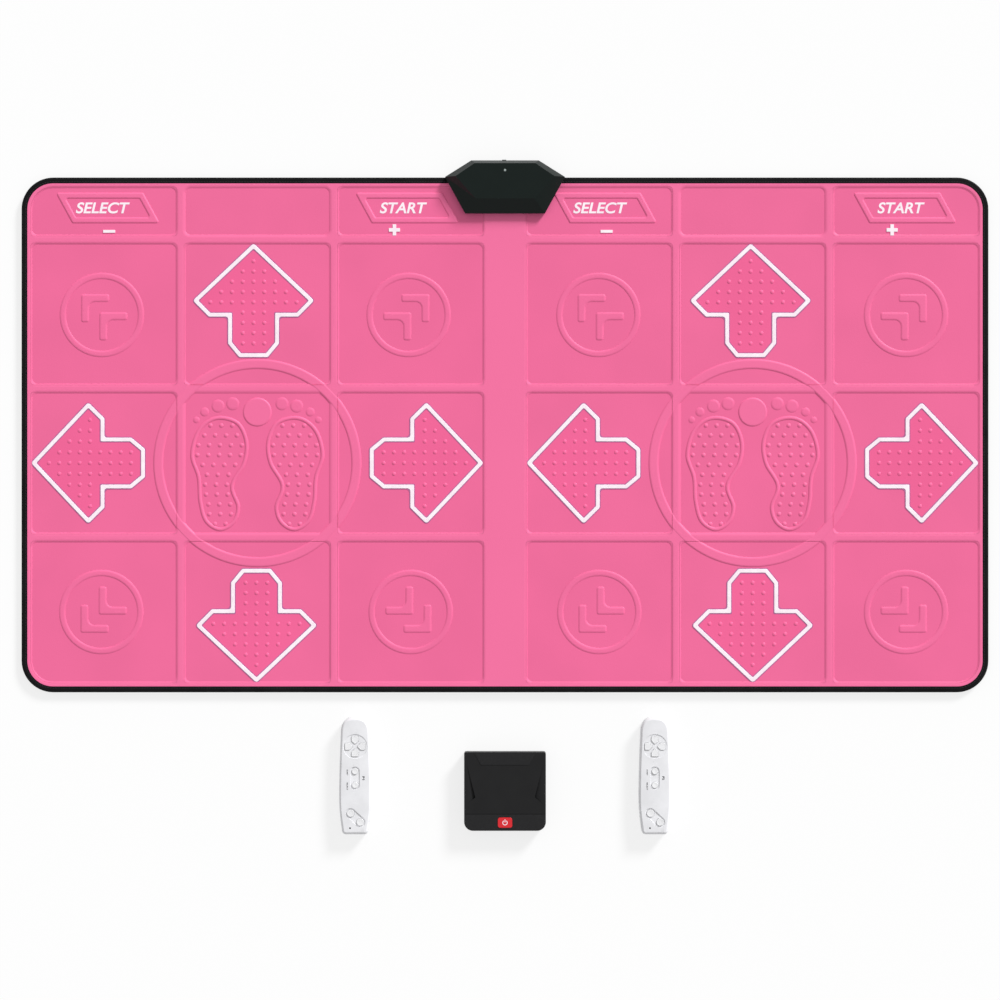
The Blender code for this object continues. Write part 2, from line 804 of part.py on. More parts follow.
RECEIVER_Z = BINDING_TOP + GAP
PLATE_TOP = RECEIVER_Z + RECEIVER_PLATE_T
COVER_Z = PLATE_TOP + GAP
RECEIVER_BACK = HALF_D + RECEIVER_BACK_Y
TROUGH_Y = (HALF_D + GAP, HALF_D + GAP + TROUGH_D)
CELL_BAY_Y = (TROUGH_Y[0] + TROUGH_WALL, TROUGH_Y[1] - TROUGH_WALL)
CELL_BAY_HALF_W = TROUGH_HALF_W - TROUGH_WALL
RECEIVER_DOOR_HALF_W = CELL_BAY_HALF_W - DOOR_FLANGE_W - SLIP
SWITCH_Z = COVER_Z + RIM_H / 2
LAMP_AT = (0.0, RECEIVER_BACK - LAMP_FROM_BACK)


def make_receiver_base():
    """A plate on top of the mat's edge, with the battery trough hung behind the mat."""
    base = flat_solid("receiver_base", [receiver_plan(0.0)], RECEIVER_Z, PLATE_TOP)
    trough = box("trough", (-TROUGH_HALF_W, TROUGH_HALF_W), TROUGH_Y, (0.0, RECEIVER_Z + OVERLAP))
    join(base, trough)
    bay_x = (-CELL_BAY_HALF_W, CELL_BAY_HALF_W)
    bay = box("bay", bay_x, CELL_BAY_Y, (DOOR_TOP, PLATE_TOP - TROUGH_CEILING))
    channel = door_channel(RECEIVER_DOOR_HALF_W, CELL_BAY_Y[0], TROUGH_Y[1] + PAST)
    cut(base, bay, channel)
    finished(base, BLACK_SHELL)

    door = sliding_door(
        "receiver_battery_door", RECEIVER_DOOR_HALF_W, CELL_BAY_Y[0] + GAP, TROUGH_Y[1]
    )
    set_origin(finished(door, BLACK_SHELL), (0.0, TROUGH_Y[1], GAP))


def make_receiver_cells():
    """Two cells end to end, the nib of the first against the second."""
    place = (0.0, sum(CELL_BAY_Y) / 2, CHANNEL_TOP + GAP + CELL_D / 2)
    lay = Matrix.Translation(place) @ Matrix.Rotation(math.radians(90), 4, "Y")
    cells = None
    axis = (0.0, 0.0)
    for start in (-CELL_L, 0.0):
        shoulder = start + CELL_L - CELL_NIB_L
        nib_end = start + CELL_L + (OVERLAP if cells is None else 0.0)
        cell = cylinder("receiver_batteries", CELL_D / 2, start, shoulder, axis, CELL_STEPS)
        join(cell, cylinder("nib", CELL_NIB_R, shoulder - OVERLAP, nib_end, axis, CELL_STEPS))
        cells = cell if cells is None else join(cells, cell)
    cells.data.transform(lay)
    finished(cells, JACKET)


def faceted_cover(name, inward, low, high):
    """A closed gem on the receiver's outline, drawn in: an upright rim, then sloping facets."""
    foot = receiver_plan(inward)
    shifts = [
        (FACET_SIDE, FACET_FRONT),
        (-FACET_SIDE, FACET_FRONT),
        (-FACET_SIDE, 0.0),
        (-FACET_BACK, -FACET_BACK),
        (FACET_BACK, -FACET_BACK),
        (FACET_SIDE, 0.0),
    ]
    top = [(x + dx, y + dy) for (x, y), (dx, dy) in zip(foot, shifts)]
    rim = COVER_Z + RIM_H - inward / 2
    solid = add_object(name, bpy.data.meshes.new(name))

    def loft(work):
        rings = []
        for outline, z in ((foot, low), (foot, rim), (top, high)):
            rings.append([work.verts.new((x, y, z)) for x, y in outline])
        for lower, upper in zip(rings, rings[1:]):
            for k in range(len(foot)):
                work.faces.new((lower[k - 1], lower[k], upper[k], upper[k - 1]))
        work.faces.new(rings[-1])
        work.faces.new(reversed(rings[0]))
        bmesh.ops.recalc_face_normals(work, faces=work.faces)

    return edit(solid, loft)


def make_receiver_cover():
    """The faceted shell over the board, with its lamp hole and switch slot."""
    top = COVER_Z + RECEIVER_COVER_H
    cover = faceted_cover("receiver_cover", 0.0, COVER_Z, top)
    hollow = faceted_cover("hollow", RECEIVER_WALL, COVER_Z - PAST, top - RECEIVER_WALL)
    lamp_hole = cylinder("lamp_hole", LAMP_R + GAP, COVER_Z, top + PAST, LAMP_AT, LAMP_STEPS)
    reach = (SWITCH_W + SWITCH_TRAVEL) / 2 + SLIP
    slot = box(
        "slot",
        (-reach, reach),
        (RECEIVER_BACK - RECEIVER_WALL - PAST, RECEIVER_BACK + PAST),
        (SWITCH_Z - SWITCH_H / 2 - SLIP, SWITCH_Z + SWITCH_H / 2 + SLIP),
    )
    cut(cover, hollow, lamp_hole, slot)
    finished(cover, BLACK_SHELL, FACET_ANGLE)


def chip_on_board(place, board_top):
    reach = CHIP_W / 2
    sides = [(middle - reach, middle + reach) for middle in place]
    return box("chip", *sides, (board_top - OVERLAP, board_top + CHIP_H))


def make_receiver_board():
    """The board, its chip and its lamp, which reaches up into the cover's top face."""
    low = COVER_Z
    high = low + BOARD_T
    reach = RECEIVER_BACK_HALF_W - RECEIVER_WALL - SLIP
    front = HALF_D + RECEIVER_FRONT_Y + RECEIVER_WALL + SLIP
    back = RECEIVER_BACK - RECEIVER_WALL - SWITCH_D - SLIP
    board = box("receiver_board", (-reach, reach), (front, back), (low, high))
    lamp_top = COVER_Z + RECEIVER_COVER_H
    lamp = cylinder("lamp", LAMP_R, high - OVERLAP, lamp_top, LAMP_AT, LAMP_STEPS)
    join(board, chip_on_board((0.0, HALF_D - CHIP_W), high), lamp)
    finished(board, BOARD)


def make_power_switch():
    knob = box(
        "receiver_power_switch",
        (-(SWITCH_W + SWITCH_TRAVEL) / 2, (SWITCH_W - SWITCH_TRAVEL) / 2),
        (RECEIVER_BACK - RECEIVER_WALL - SWITCH_D, RECEIVER_BACK + SWITCH_PROUD),
        (SWITCH_Z - SWITCH_H / 2, SWITCH_Z + SWITCH_H / 2),
    )
    set_origin(finished(knob, BLACK_SHELL), (-SWITCH_TRAVEL / 2, RECEIVER_BACK, SWITCH_Z))


# Handset: +Y to its rounded nose, origin on the floor under its middle

HANDSET_TAIL = -HANDSET_L / 2
HANDSET_NOSE = HANDSET_L / 2
SHOULDER_Y = HANDSET_NOSE - NOSE_L
BELLY_Y = HANDSET_TAIL + BELLY_FROM_TAIL
CROSS_Y = HANDSET_NOSE - CROSS_FROM_NOSE
ACTION_A = (ACTION_A_X, HANDSET_TAIL + ACTION_A_FROM_TAIL)
ACTION_B = (ACTION_B_X, HANDSET_TAIL + ACTION_B_FROM_TAIL)
HANDSET_LAMP_AT = (HANDSET_LAMP_X, HANDSET_TAIL + HANDSET_LAMP_FROM_TAIL)
SHELL_UNDER = HANDSET_H - HANDSET_WALL
FLANGE_TOP = SHELL_UNDER - GAP
FLANGE_LOW = FLANGE_TOP - KEY_FLANGE_T
KEY_TOP = HANDSET_H - POCKET_DEPTH + KEY_PROUD
MENU_FIRST = (0.0, MENU_Y + MENU_PITCH / 2)
MENU_LAST = (0.0, MENU_Y - MENU_PITCH / 2)
CROSS_MIDDLE = (CROSS_TIP + CROSS_REACH) / 2


def side_half_width(y):
    """Swells from the nose to the belly, and draws in again to the tail."""
    if y > BELLY_Y:
        along = (SHOULDER_Y - y) / (SHOULDER_Y - BELLY_Y)
        return SHOULDER_HALF_W + (BELLY_HALF_W - SHOULDER_HALF_W) * math.sin(along * math.pi / 2)
    along = (BELLY_Y - y) / (BELLY_Y - HANDSET_TAIL - TAIL_R)
    return TAIL_HALF_W + (BELLY_HALF_W - TAIL_HALF_W) * math.cos(along * math.pi / 2)


def handset_outline(inward):
    """Tail corner, swelling side, then a superellipse over the nose, and the same mirrored."""
    right = []
    centre = (TAIL_HALF_W - TAIL_R, HANDSET_TAIL + TAIL_R)
    for k in range(TAIL_STEPS + 1):
        angle = math.pi / 2 * (k / TAIL_STEPS - 1)
        reach = TAIL_R - inward
        right.append((centre[0] + reach * math.cos(angle), centre[1] + reach * math.sin(angle)))
    for k in range(1, SIDE_STEPS):
        y = centre[1] + (SHOULDER_Y - centre[1]) * k / SIDE_STEPS
        right.append((side_half_width(y) - inward, y))
    for k in range(NOSE_STEPS):
        angle = math.pi / 2 * k / NOSE_STEPS
        x = (SHOULDER_HALF_W - inward) * math.cos(angle) ** (2 / NOSE_POWER)
        y = (NOSE_L - inward) * math.sin(angle) ** (2 / NOSE_POWER)
        right.append((x, SHOULDER_Y + y))
    left = [(-x, y) for x, y in reversed(right)]
    return [*right, (0.0, HANDSET_NOSE - inward), *left]


def pentagon(quarter_turns, grow):
    """A direction key about its own middle: square outside, pointed towards the cross's middle."""
    shoulder = CROSS_TIP + CROSS_HALF_W
    points = [
        (0.0, CROSS_TIP),
        (CROSS_HALF_W, shoulder),
        (CROSS_HALF_W, CROSS_REACH),
        (-CROSS_HALF_W, CROSS_REACH),
        (-CROSS_HALF_W, shoulder),
    ]
    return turned(moved(inset(points, -grow), 0.0, -CROSS_MIDDLE), quarter_turns)


def round_key(radius, grow):
    return circle(radius + grow, KEY_STEPS)


def handset_keys():
    """Each key's name, its middle, and what gives its outline, grown by a distance."""
    keys = []
    for quarter_turns, name in enumerate(("up", "left", "down", "right")):
        x, y = turned([(0.0, CROSS_MIDDLE)], quarter_turns)[0]
        keys.append(("key_" + name, (x, y + CROSS_Y), partial(pentagon, quarter_turns)))
    keys.append(("key_start", MENU_FIRST, partial(round_key, MENU_KEY_R)))
    keys.append(("key_select", MENU_LAST, partial(round_key, MENU_KEY_R)))
    keys.append(("key_a", ACTION_A, partial(round_key, ACTION_KEY_R)))
    keys.append(("key_b", ACTION_B, partial(round_key, ACTION_KEY_R)))
    return keys


def pocket_cutter(radius, first, last, depth):
    """A pocket with round ends about two points, cut into the handset's top."""
    along = math.atan2(last[1] - first[1], last[0] - first[0])
    points = []
    for middle, start in ((last, along - math.pi / 2), (first, along + math.pi / 2)):
        for k in range(KEY_STEPS // 2 + 1):
            angle = start + math.tau * k / KEY_STEPS
            points.append((middle[0] + radius * math.cos(angle), middle[1] + radius * math.sin(angle)))
    return flat_solid("pocket", [points], HANDSET_H - depth, HANDSET_H + PAST)


def make_upper_shell(prefix):
    shell = flat_solid(
        prefix + "upper_shell", [handset_outline(0.0)], HANDSET_PARTING + GAP, HANDSET_H
    )
    round_rim(shell, HANDSET_H, UPPER_ROUND, 2)
    hollow = flat_solid(
        "hollow", [handset_outline(HANDSET_WALL)], HANDSET_PARTING - PAST, SHELL_UNDER
    )
    round_rim(hollow, SHELL_UNDER, UPPER_ROUND - HANDSET_WALL, 1)
    over = HANDSET_H + PAST
    under = SHELL_UNDER - PAST
    dish = circle(CROSS_DISH_R, 2 * KEY_STEPS, (0.0, CROSS_Y))
    cutters = [
        hollow,
        flat_solid("dish", [dish], HANDSET_H - DISH_DEPTH, over),
        pocket_cutter(MENU_POCKET_R, MENU_FIRST, MENU_LAST, POCKET_DEPTH),
        pocket_cutter(ACTION_POCKET_R, ACTION_A, ACTION_B, POCKET_DEPTH),
        cylinder("lamp_hole", HANDSET_LAMP_R, under, over, HANDSET_LAMP_AT, KEY_STEPS // 2),
    ]
    for _, middle, outline in handset_keys():
        cutters.append(flat_solid("key_hole", [moved(outline(SLIP), *middle)], under, over))
    cut(shell, *cutters)
    return finished(shell, WHITE_SHELL)


BAY_Y = (
    HANDSET_TAIL + HANDSET_DOOR_L - BAY_FROM_DOOR_END - BAY_L,
    HANDSET_TAIL + HANDSET_DOOR_L - BAY_FROM_DOOR_END,
)


def lower_block(name):
    block = flat_solid(name, [handset_outline(0.0)], 0.0, HANDSET_PARTING)
    return round_rim(block, 0.0, LOWER_ROUND, 2)


def make_lower_shell(prefix):
    """A tray with the battery bay's box, the door's channel and four bosses for the board."""
    shell = lower_block(prefix + "lower_shell")
    tray = flat_solid(
        "tray", [handset_outline(HANDSET_WALL)], HANDSET_FLOOR_T, HANDSET_PARTING + PAST
    )
    round_rim(tray, HANDSET_FLOOR_T, LOWER_ROUND - HANDSET_WALL, 1)
    cut(shell, tray)
    walls = box(
        "bay_walls",
        (-BAY_W / 2 - BAY_WALL, BAY_W / 2 + BAY_WALL),
        (BAY_Y[0] - BAY_WALL, BAY_Y[1] + BAY_WALL),
        (HANDSET_FLOOR_T - OVERLAP, BAY_TOP + BAY_WALL),
    )
    join(shell, walls)
    for x in (-BOSS_X, BOSS_X):
        for y in (HANDSET_TAIL + BOSS_FROM_END, HANDSET_NOSE - BOSS_FROM_END):
            low = HANDSET_FLOOR_T - OVERLAP
            join(shell, cylinder("boss", BOSS_R, low, HANDSET_BOARD_Z - GAP, (x, y), POST_STEPS))
    bay = box("bay", (-BAY_W / 2, BAY_W / 2), BAY_Y, (DOOR_TOP, BAY_TOP))
    channel_end = HANDSET_TAIL + HANDSET_DOOR_L + GAP
    cut(shell, bay, door_channel(HANDSET_DOOR_W / 2, HANDSET_TAIL - PAST, channel_end))
    return finished(shell, WHITE_SHELL)


def make_handset_door(prefix):
    """The door, rounded at the tail like the shell that it slides out of."""
    door = sliding_door(
        prefix + "battery_door", HANDSET_DOOR_W / 2, HANDSET_TAIL, HANDSET_TAIL + HANDSET_DOOR_L
    )
    combine(door, lower_block("tail"), "INTERSECT")
    for k in range(GRIP_LINES):
        y = HANDSET_TAIL + TAIL_R + GRIP_PITCH * k
        wide = HANDSET_DOOR_W / 4
        cut(door, box("grip", (-wide, wide), (y, y + GRIP_PITCH / 2), (0.0, GAP + DOOR_FACE_T / 2)))
    return finished(door, WHITE_SHELL)


def make_key(name, outline):
    """A key's cap, with a flange that keeps it under the shell."""
    cap = flat_solid(name, [outline(0.0)], FLANGE_LOW + OVERLAP / 2, KEY_TOP)
    round_rim(cap, KEY_TOP, KEY_PROUD / 2, 1)
    join(cap, flat_solid("flange", [outline(KEY_FLANGE_W)], FLANGE_LOW, FLANGE_TOP))
    return finished(cap, WHITE_KEY)


def make_handset_board(prefix):
    """The board, with a rubber dome under each key."""
    half_w = HANDSET_BOARD_W / 2
    half_l = HANDSET_NOSE - HANDSET_BOARD_INSET
    outline = rounded_rect(-half_w, half_w, -half_l, half_l, [TAIL_R] * 4, [TAIL_STEPS] * 4)
    high = HANDSET_BOARD_Z + BOARD_T
    board = flat_solid(prefix + "circuit_board", [outline], HANDSET_BOARD_Z, high)
    dome_top = FLANGE_LOW - KEY_TRAVEL - GAP
    for _, middle, _ in handset_keys():
        join(board, cylinder("dome", DOME_R, high - OVERLAP, dome_top, middle, POST_STEPS))
    return finished(board, BOARD)


def make_handset(prefix, x):
    unit = unit_at(prefix + "lift", (x, HANDSET_Y, 0.0))
    carried(make_upper_shell(prefix), unit)
    carried(make_lower_shell(prefix), unit)
    carried(make_handset_board(prefix), unit)
    carried(make_handset_door(prefix), unit, (0.0, HANDSET_TAIL, GAP))
    for name, middle, outline in handset_keys():
        carried(make_key(prefix + name, outline), unit).location = (*middle, 0.0)


# Console: +Y to its back, origin on the floor under its middle

CONSOLE_HALF_D = CONSOLE_D / 2
CONSOLE_FLOOR = CONSOLE_FOOT_H + CONSOLE_WALL
CONSOLE_UNDER = CONSOLE_H - CONSOLE_WALL
CONSOLE_BOARD_Z = CONSOLE_FLOOR + CONSOLE_BOSS_H + GAP
CONSOLE_BOARD_TOP = CONSOLE_BOARD_Z + BOARD_T
JACK_Z = CONSOLE_BOARD_TOP + JACK_RISE
BADGE_Y = -CONSOLE_HALF_D + STRIP_D / 2
BADGE_FLANGE_TOP = CONSOLE_UNDER - GAP
BADGE_FLANGE_LOW = BADGE_FLANGE_TOP - KEY_FLANGE_T


def console_outline(inward):
    half_w = CONSOLE_W / 2 - inward
    half_d = CONSOLE_HALF_D - inward
    front = FRONT_CORNER_R - inward
    back = BACK_CORNER_R - inward
    radii = [front, front, back, back]
    return rounded_rect(-half_w, half_w, -half_d, half_d, radii, [CONSOLE_CORNER_STEPS] * 4)


def badge_outline(grow):
    x = BADGE_W / 2 + grow
    y = BADGE_D / 2 + grow
    radii = [BADGE_CORNER_R + grow] * 4
    return rounded_rect(-x, x, BADGE_Y - y, BADGE_Y + y, radii, [BADGE_CORNER_STEPS] * 4)


def scoop(side, grow, over):
    """A wedge that is deepest at its elbow. Grown, it is the wall under the scoop."""
    plan = [(SCOOP_X, SCOOP_BACK_Y), (SCOOP_ELBOW_X, SCOOP_ELBOW_Y), (SCOOP_X, SCOOP_FRONT_Y)]
    depths = (0.0, SCOOP_DEPTH, 0.0)
    solid = add_object("scoop", bpy.data.meshes.new("scoop"))

    def hull(work):
        for (x, y), depth in zip(inset(plan, grow), depths):
            work.verts.new((side * x, y, CONSOLE_H + over))
            work.verts.new((side * x, y, CONSOLE_H - depth + grow))
        bmesh.ops.convex_hull(work, input=list(work.verts))
        bmesh.ops.recalc_face_normals(work, faces=work.faces)

    return edit(solid, hull)


def make_console_upper_shell():
    """The lid: raised trapezoid at the back, a scoop down each side, and the strip's groove."""
    shell = flat_solid(
        "console_upper_shell", [console_outline(0.0)], CONSOLE_PARTING + GAP, CONSOLE_H
    )
    round_rim(shell, CONSOLE_H, TOP_BEVEL, 2)
    hollow = flat_solid(
        "hollow", [console_outline(CONSOLE_WALL)], CONSOLE_PARTING - PAST, CONSOLE_UNDER
    )
    cut(shell, hollow)
    join(shell, scoop(-1, -CONSOLE_WALL, -TOP_BEVEL), scoop(1, -CONSOLE_WALL, -TOP_BEVEL))
    back = CONSOLE_HALF_D - PANEL_FROM_BACK
    panel = [
        (-PANEL_FRONT_HALF_W, back - PANEL_D),
        (PANEL_FRONT_HALF_W, back - PANEL_D),
        (PANEL_BACK_HALF_W, back),
        (-PANEL_BACK_HALF_W, back),
    ]
    join(shell, flat_solid("panel", [panel], CONSOLE_H - OVERLAP, CONSOLE_H + PANEL_RISE))
    groove_y = -CONSOLE_HALF_D + STRIP_D
    groove = box(
        "groove",
        (-CONSOLE_W, CONSOLE_W),
        (groove_y, groove_y + STRIP_GROOVE),
        (CONSOLE_H - STRIP_GROOVE, CONSOLE_H + PAST),
    )
    badge_hole = flat_solid(
        "badge_hole", [badge_outline(SLIP)], CONSOLE_UNDER - PAST, CONSOLE_H + PAST
    )
    cut(shell, groove, scoop(-1, 0.0, PAST), scoop(1, 0.0, PAST), badge_hole)
    return finished(shell, BLACK_SHELL)


def console_corners():
    """The four places of the feet, and of the bosses above them."""
    inward = FRONT_CORNER_R
    for sx in (-1, 1):
        for sy in (-1, 1):
            yield (sx * (CONSOLE_W / 2 - inward), sy * (CONSOLE_HALF_D - inward))


def socket_places():
    """The middle of each socket on the back: two round ones, then the supply's slot."""
    return [-JACK_PITCH, 0.0, JACK_PITCH]


def socket_bores(low, high):
    """Cutters for what the plugs go into, between two y values."""
    *jacks, supply = socket_places()
    bores = [along_y("jack", circle(JACK_R, JACK_STEPS, (x, JACK_Z)), low, high) for x in jacks]
    slot_x = (supply - SUPPLY_SLOT_W / 2, supply + SUPPLY_SLOT_W / 2)
    slot_z = (JACK_Z - SUPPLY_SLOT_H / 2, JACK_Z + SUPPLY_SLOT_H / 2)
    return [*bores, box("supply", slot_x, (low, high), slot_z)]


def make_console_lower_shell():
    """A tray on four feet, with the bosses for the board and the holes of the sockets."""
    shell = flat_solid(
        "console_lower_shell", [console_outline(0.0)], CONSOLE_FOOT_H, CONSOLE_PARTING
    )
    round_rim(shell, CONSOLE_FOOT_H, TOP_BEVEL, 1)
    tray = flat_solid(
        "tray", [console_outline(CONSOLE_WALL)], CONSOLE_FLOOR, CONSOLE_PARTING + PAST
    )
    cut(shell, tray)
    foot_top = CONSOLE_FOOT_H + OVERLAP
    boss_low = CONSOLE_FLOOR - OVERLAP
    boss_top = CONSOLE_BOARD_Z - GAP
    for spot in console_corners():
        foot = cylinder("foot", CONSOLE_FOOT_R, 0.0, foot_top, spot, CONSOLE_FOOT_STEPS)
        boss = cylinder("boss", CONSOLE_BOSS_R, boss_low, boss_top, spot, POST_STEPS)
        join(shell, foot, boss)
    cut(shell, *socket_bores(CONSOLE_HALF_D - CONSOLE_WALL - PAST, CONSOLE_HALF_D + PAST))
    return finished(shell, BLACK_SHELL)


def make_console_key():
    """The red badge: a key with a flange under the lid and a stem down to its switch."""
    top = CONSOLE_H + BADGE_PROUD
    key = flat_solid(
        "console_power_key", [badge_outline(0.0)], BADGE_FLANGE_LOW + OVERLAP / 2, top
    )
    round_rim(key, top, BADGE_PROUD / 2, 2)
    stem_low = CONSOLE_BOARD_TOP + TACT_H + BADGE_TRAVEL + GAP
    flange = flat_solid(
        "flange", [badge_outline(KEY_FLANGE_W)], BADGE_FLANGE_LOW, BADGE_FLANGE_TOP
    )
    stem_top = BADGE_FLANGE_LOW + OVERLAP
    stem = cylinder("stem", STEM_R, stem_low, stem_top, (0.0, BADGE_Y), STEM_STEPS)
    join(key, flange, stem)
    return finished(key, RED_KEY)


def make_console_board():
    """The board on its bosses, with the chip, the key's switch and the sockets."""
    outline = console_outline(CONSOLE_WALL + SLIP)
    high = CONSOLE_BOARD_TOP
    board = flat_solid("console_board", [outline], CONSOLE_BOARD_Z, high)
    low = high - OVERLAP
    tact = box(
        "tact",
        (-TACT_W / 2, TACT_W / 2),
        (BADGE_Y - TACT_W / 2, BADGE_Y + TACT_W / 2),
        (low, high + TACT_H),
    )
    join(board, chip_on_board((0.0, 0.0), high), tact)
    mouth = CONSOLE_HALF_D - CONSOLE_WALL - SLIP
    for x in socket_places():
        sides = (x - SOCKET_W / 2, x + SOCKET_W / 2)
        join(board, box("socket", sides, (mouth - SOCKET_D, mouth), (low, high + 2 * JACK_RISE)))
    cut(board, *socket_bores(mouth - SOCKET_BORE_D, mouth + PAST))
    return finished(board, BOARD)


def make_console():
    unit = unit_at("console_lift", (0.0, CONSOLE_Y, 0.0))
    carried(make_console_upper_shell(), unit)
    carried(make_console_lower_shell(), unit)
    carried(make_console_board(), unit)
    carried(make_console_key(), unit, (0.0, BADGE_Y, CONSOLE_H))


def main():
    make_sheets()
    make_binding()
    make_skin()
    for player_name, player in PLAYERS.items():
        for zone in ZONES:
            make_pad(f"{player_name}_{zone}_pad", player, zone)
    make_receiver_base()
    make_receiver_cells()
    make_receiver_cover()
    make_receiver_board()
    make_power_switch()
    make_handset("handset_1_", -HANDSET_X)
    make_handset("handset_2_", HANDSET_X)
    make_console()


main()
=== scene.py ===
# %% [markdown]
# # Dressing a dance mat
#
# The model comes in two steps. The first one was CAD: plain solids of the right size, each with
# its joint. This script is the second step. It loads those solids, puts a finer piece over each
# one that shows, and gives every surface a finish made of shader nodes.
# The load comes first, because every size below is read from the solids or agrees with them.

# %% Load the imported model
import math
from functools import partial
from itertools import product

import bpy
from mathutils import Matrix, Vector


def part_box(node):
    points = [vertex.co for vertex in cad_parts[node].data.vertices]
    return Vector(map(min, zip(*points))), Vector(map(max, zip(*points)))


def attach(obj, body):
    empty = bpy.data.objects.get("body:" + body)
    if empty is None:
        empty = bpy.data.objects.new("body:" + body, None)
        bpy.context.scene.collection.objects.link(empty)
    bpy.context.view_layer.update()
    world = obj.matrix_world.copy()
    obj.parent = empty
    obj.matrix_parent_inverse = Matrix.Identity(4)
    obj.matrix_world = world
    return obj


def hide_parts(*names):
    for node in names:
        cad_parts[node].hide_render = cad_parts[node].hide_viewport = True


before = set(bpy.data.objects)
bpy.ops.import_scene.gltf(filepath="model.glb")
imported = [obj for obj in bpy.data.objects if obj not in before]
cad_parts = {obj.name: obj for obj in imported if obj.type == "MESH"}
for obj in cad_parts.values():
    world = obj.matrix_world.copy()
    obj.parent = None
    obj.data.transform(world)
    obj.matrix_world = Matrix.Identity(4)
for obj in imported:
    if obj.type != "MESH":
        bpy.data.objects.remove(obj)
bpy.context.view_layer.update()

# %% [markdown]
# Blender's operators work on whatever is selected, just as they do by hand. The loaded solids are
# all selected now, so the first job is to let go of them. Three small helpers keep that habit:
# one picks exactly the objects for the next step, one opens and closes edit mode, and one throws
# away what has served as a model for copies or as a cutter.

bpy.ops.object.select_all(action="DESELECT")


def pick(*objects):
    """Selects these objects alone, with the first one active."""
    bpy.ops.object.select_all(action="DESELECT")
    for obj in objects:
        obj.select_set(True)
    bpy.context.view_layer.objects.active = objects[0]
    return objects[0]


def in_edit_mode(obj, *steps):
    """Runs edit mode operators on the whole mesh of one object."""
    pick(obj)
    bpy.ops.object.mode_set(mode="EDIT")
    bpy.ops.mesh.select_all(action="SELECT")
    for step in steps:
        step()
    bpy.ops.object.mode_set(mode="OBJECT")
    return obj


def discard(*objects):
    for obj in objects:
        bpy.data.objects.remove(obj, do_unlink=True)


# %% [markdown]
# The mat lies flat on the floor and the photograph looks straight down on it. A long lens from six
# metres up keeps the parallel edges parallel. The lens follows from how much floor the square
# picture covers: sensor width times distance, over the width of the view.

# %% Camera
VIEW_WIDTH = 1.708
VIEW_CENTRE = (-0.0085, -0.111)
CAMERA_HEIGHT = 6.0
SENSOR = 36.0
CLIP_END = 30.0

bpy.ops.object.camera_add(location=(*VIEW_CENTRE, CAMERA_HEIGHT), rotation=(0.0, 0.0, 0.0))
camera = bpy.context.object
camera.data.sensor_width = SENSOR
camera.data.lens = SENSOR * CAMERA_HEIGHT / VIEW_WIDTH
camera.data.clip_end = CLIP_END
bpy.context.scene.camera = camera
print("lens in mm:", round(camera.data.lens, 1))

# %% [markdown]
# All relief on the mat is a millimetre or two high. It only reads if light rakes across it, so a
# soft sun stands low at the upper right, and a pale sky fills the shadows. A sun is used and not
# a lamp, because a lamp beside a mat 1.6 m wide would leave one end darker than the other.
# Sun and sky together light a flat surface so that its colour renders about as it is written.

# %% Light
SUN_ELEVATION = math.radians(27)
SUN_AZIMUTH = math.radians(52)
SUN_STRENGTH = 3.45
SUN_WIDTH = math.radians(14)    # a wide sun has soft shadows
SKY_STRENGTH = 0.52

bpy.ops.object.light_add(
    type="SUN",
    rotation=(0.0, math.radians(90) - SUN_ELEVATION, SUN_AZIMUTH),
    location=(3.0, 3.0, 3.0),
)
sun = bpy.context.object
sun.data.energy = SUN_STRENGTH
sun.data.angle = SUN_WIDTH

world = bpy.data.worlds.new("studio_sky")
world.use_nodes = True
sky = world.node_tree.nodes["Background"].inputs
sky["Color"].default_value = (1.0, 1.0, 1.0, 1.0)
sky["Strength"].default_value = SKY_STRENGTH
bpy.context.scene.world = world
bpy.context.scene.view_settings.view_transform = "Standard"
print("height of the sun in degrees:", round(math.degrees(SUN_ELEVATION)))

# %% [markdown]
# A finish is a Principled shader with a few nodes in front of it. Every finish below starts from
# the same bare material, so one helper makes that. Another feeds a node's inputs by name, each
# with a plain value or with a link from another node. The rest wrap the nodes that are used most,
# which keeps each finish down to the lines that matter.

# %% Helpers for finishes


def srgb(red, green, blue):
    """A colour as read in a paint program, turned into the linear values that a shader takes."""
    linear = []
    for value in (red, green, blue):
        share = value / 255
        linear.append(share / 12.92 if share <= 0.04045 else ((share + 0.055) / 1.055) ** 2.4)
    return (*linear, 1.0)


def shade(colour, by):
    """The same colour, lighter or darker by a factor."""
    return (*[min(1.0, value * by) for value in colour[:3]], 1.0)


def give(tree, socket, value):
    """Sets an input to a value, or links it to another node's output."""
    if isinstance(value, bpy.types.NodeSocket):
        tree.links.new(value, socket)
    else:
        socket.default_value = value


def feed(tree, node, **inputs):
    """Gives a node several inputs by name; a name's underscores stand for spaces."""
    for name, value in inputs.items():
        give(tree, node.inputs[name.replace("_", " ")], value)
    return node


def add_node(tree, kind, **inputs):
    return feed(tree, tree.nodes.new(kind), **inputs)


def bare_finish(name, colour, roughness, metallic=0.0):
    """A new Principled material, its node tree and its shader."""
    material = bpy.data.materials.new(name)
    material.use_nodes = True
    tree = material.node_tree
    shader = tree.nodes["Principled BSDF"]
    feed(tree, shader, Base_Color=colour, Roughness=roughness, Metallic=metallic)
    material.diffuse_color = colour
    return material, tree, shader


def place_of(tree, stretch=1.0, turn=0.0):
    """The point on the object in metres, stretched along X or turned for a pattern."""
    point = add_node(tree, "ShaderNodeTexCoord").outputs["Object"]
    scale = (stretch, 1.0, 1.0)
    turned_by = (0.0, 0.0, turn)
    mapping = add_node(tree, "ShaderNodeMapping", Vector=point, Scale=scale, Rotation=turned_by)
    return mapping.outputs["Vector"]


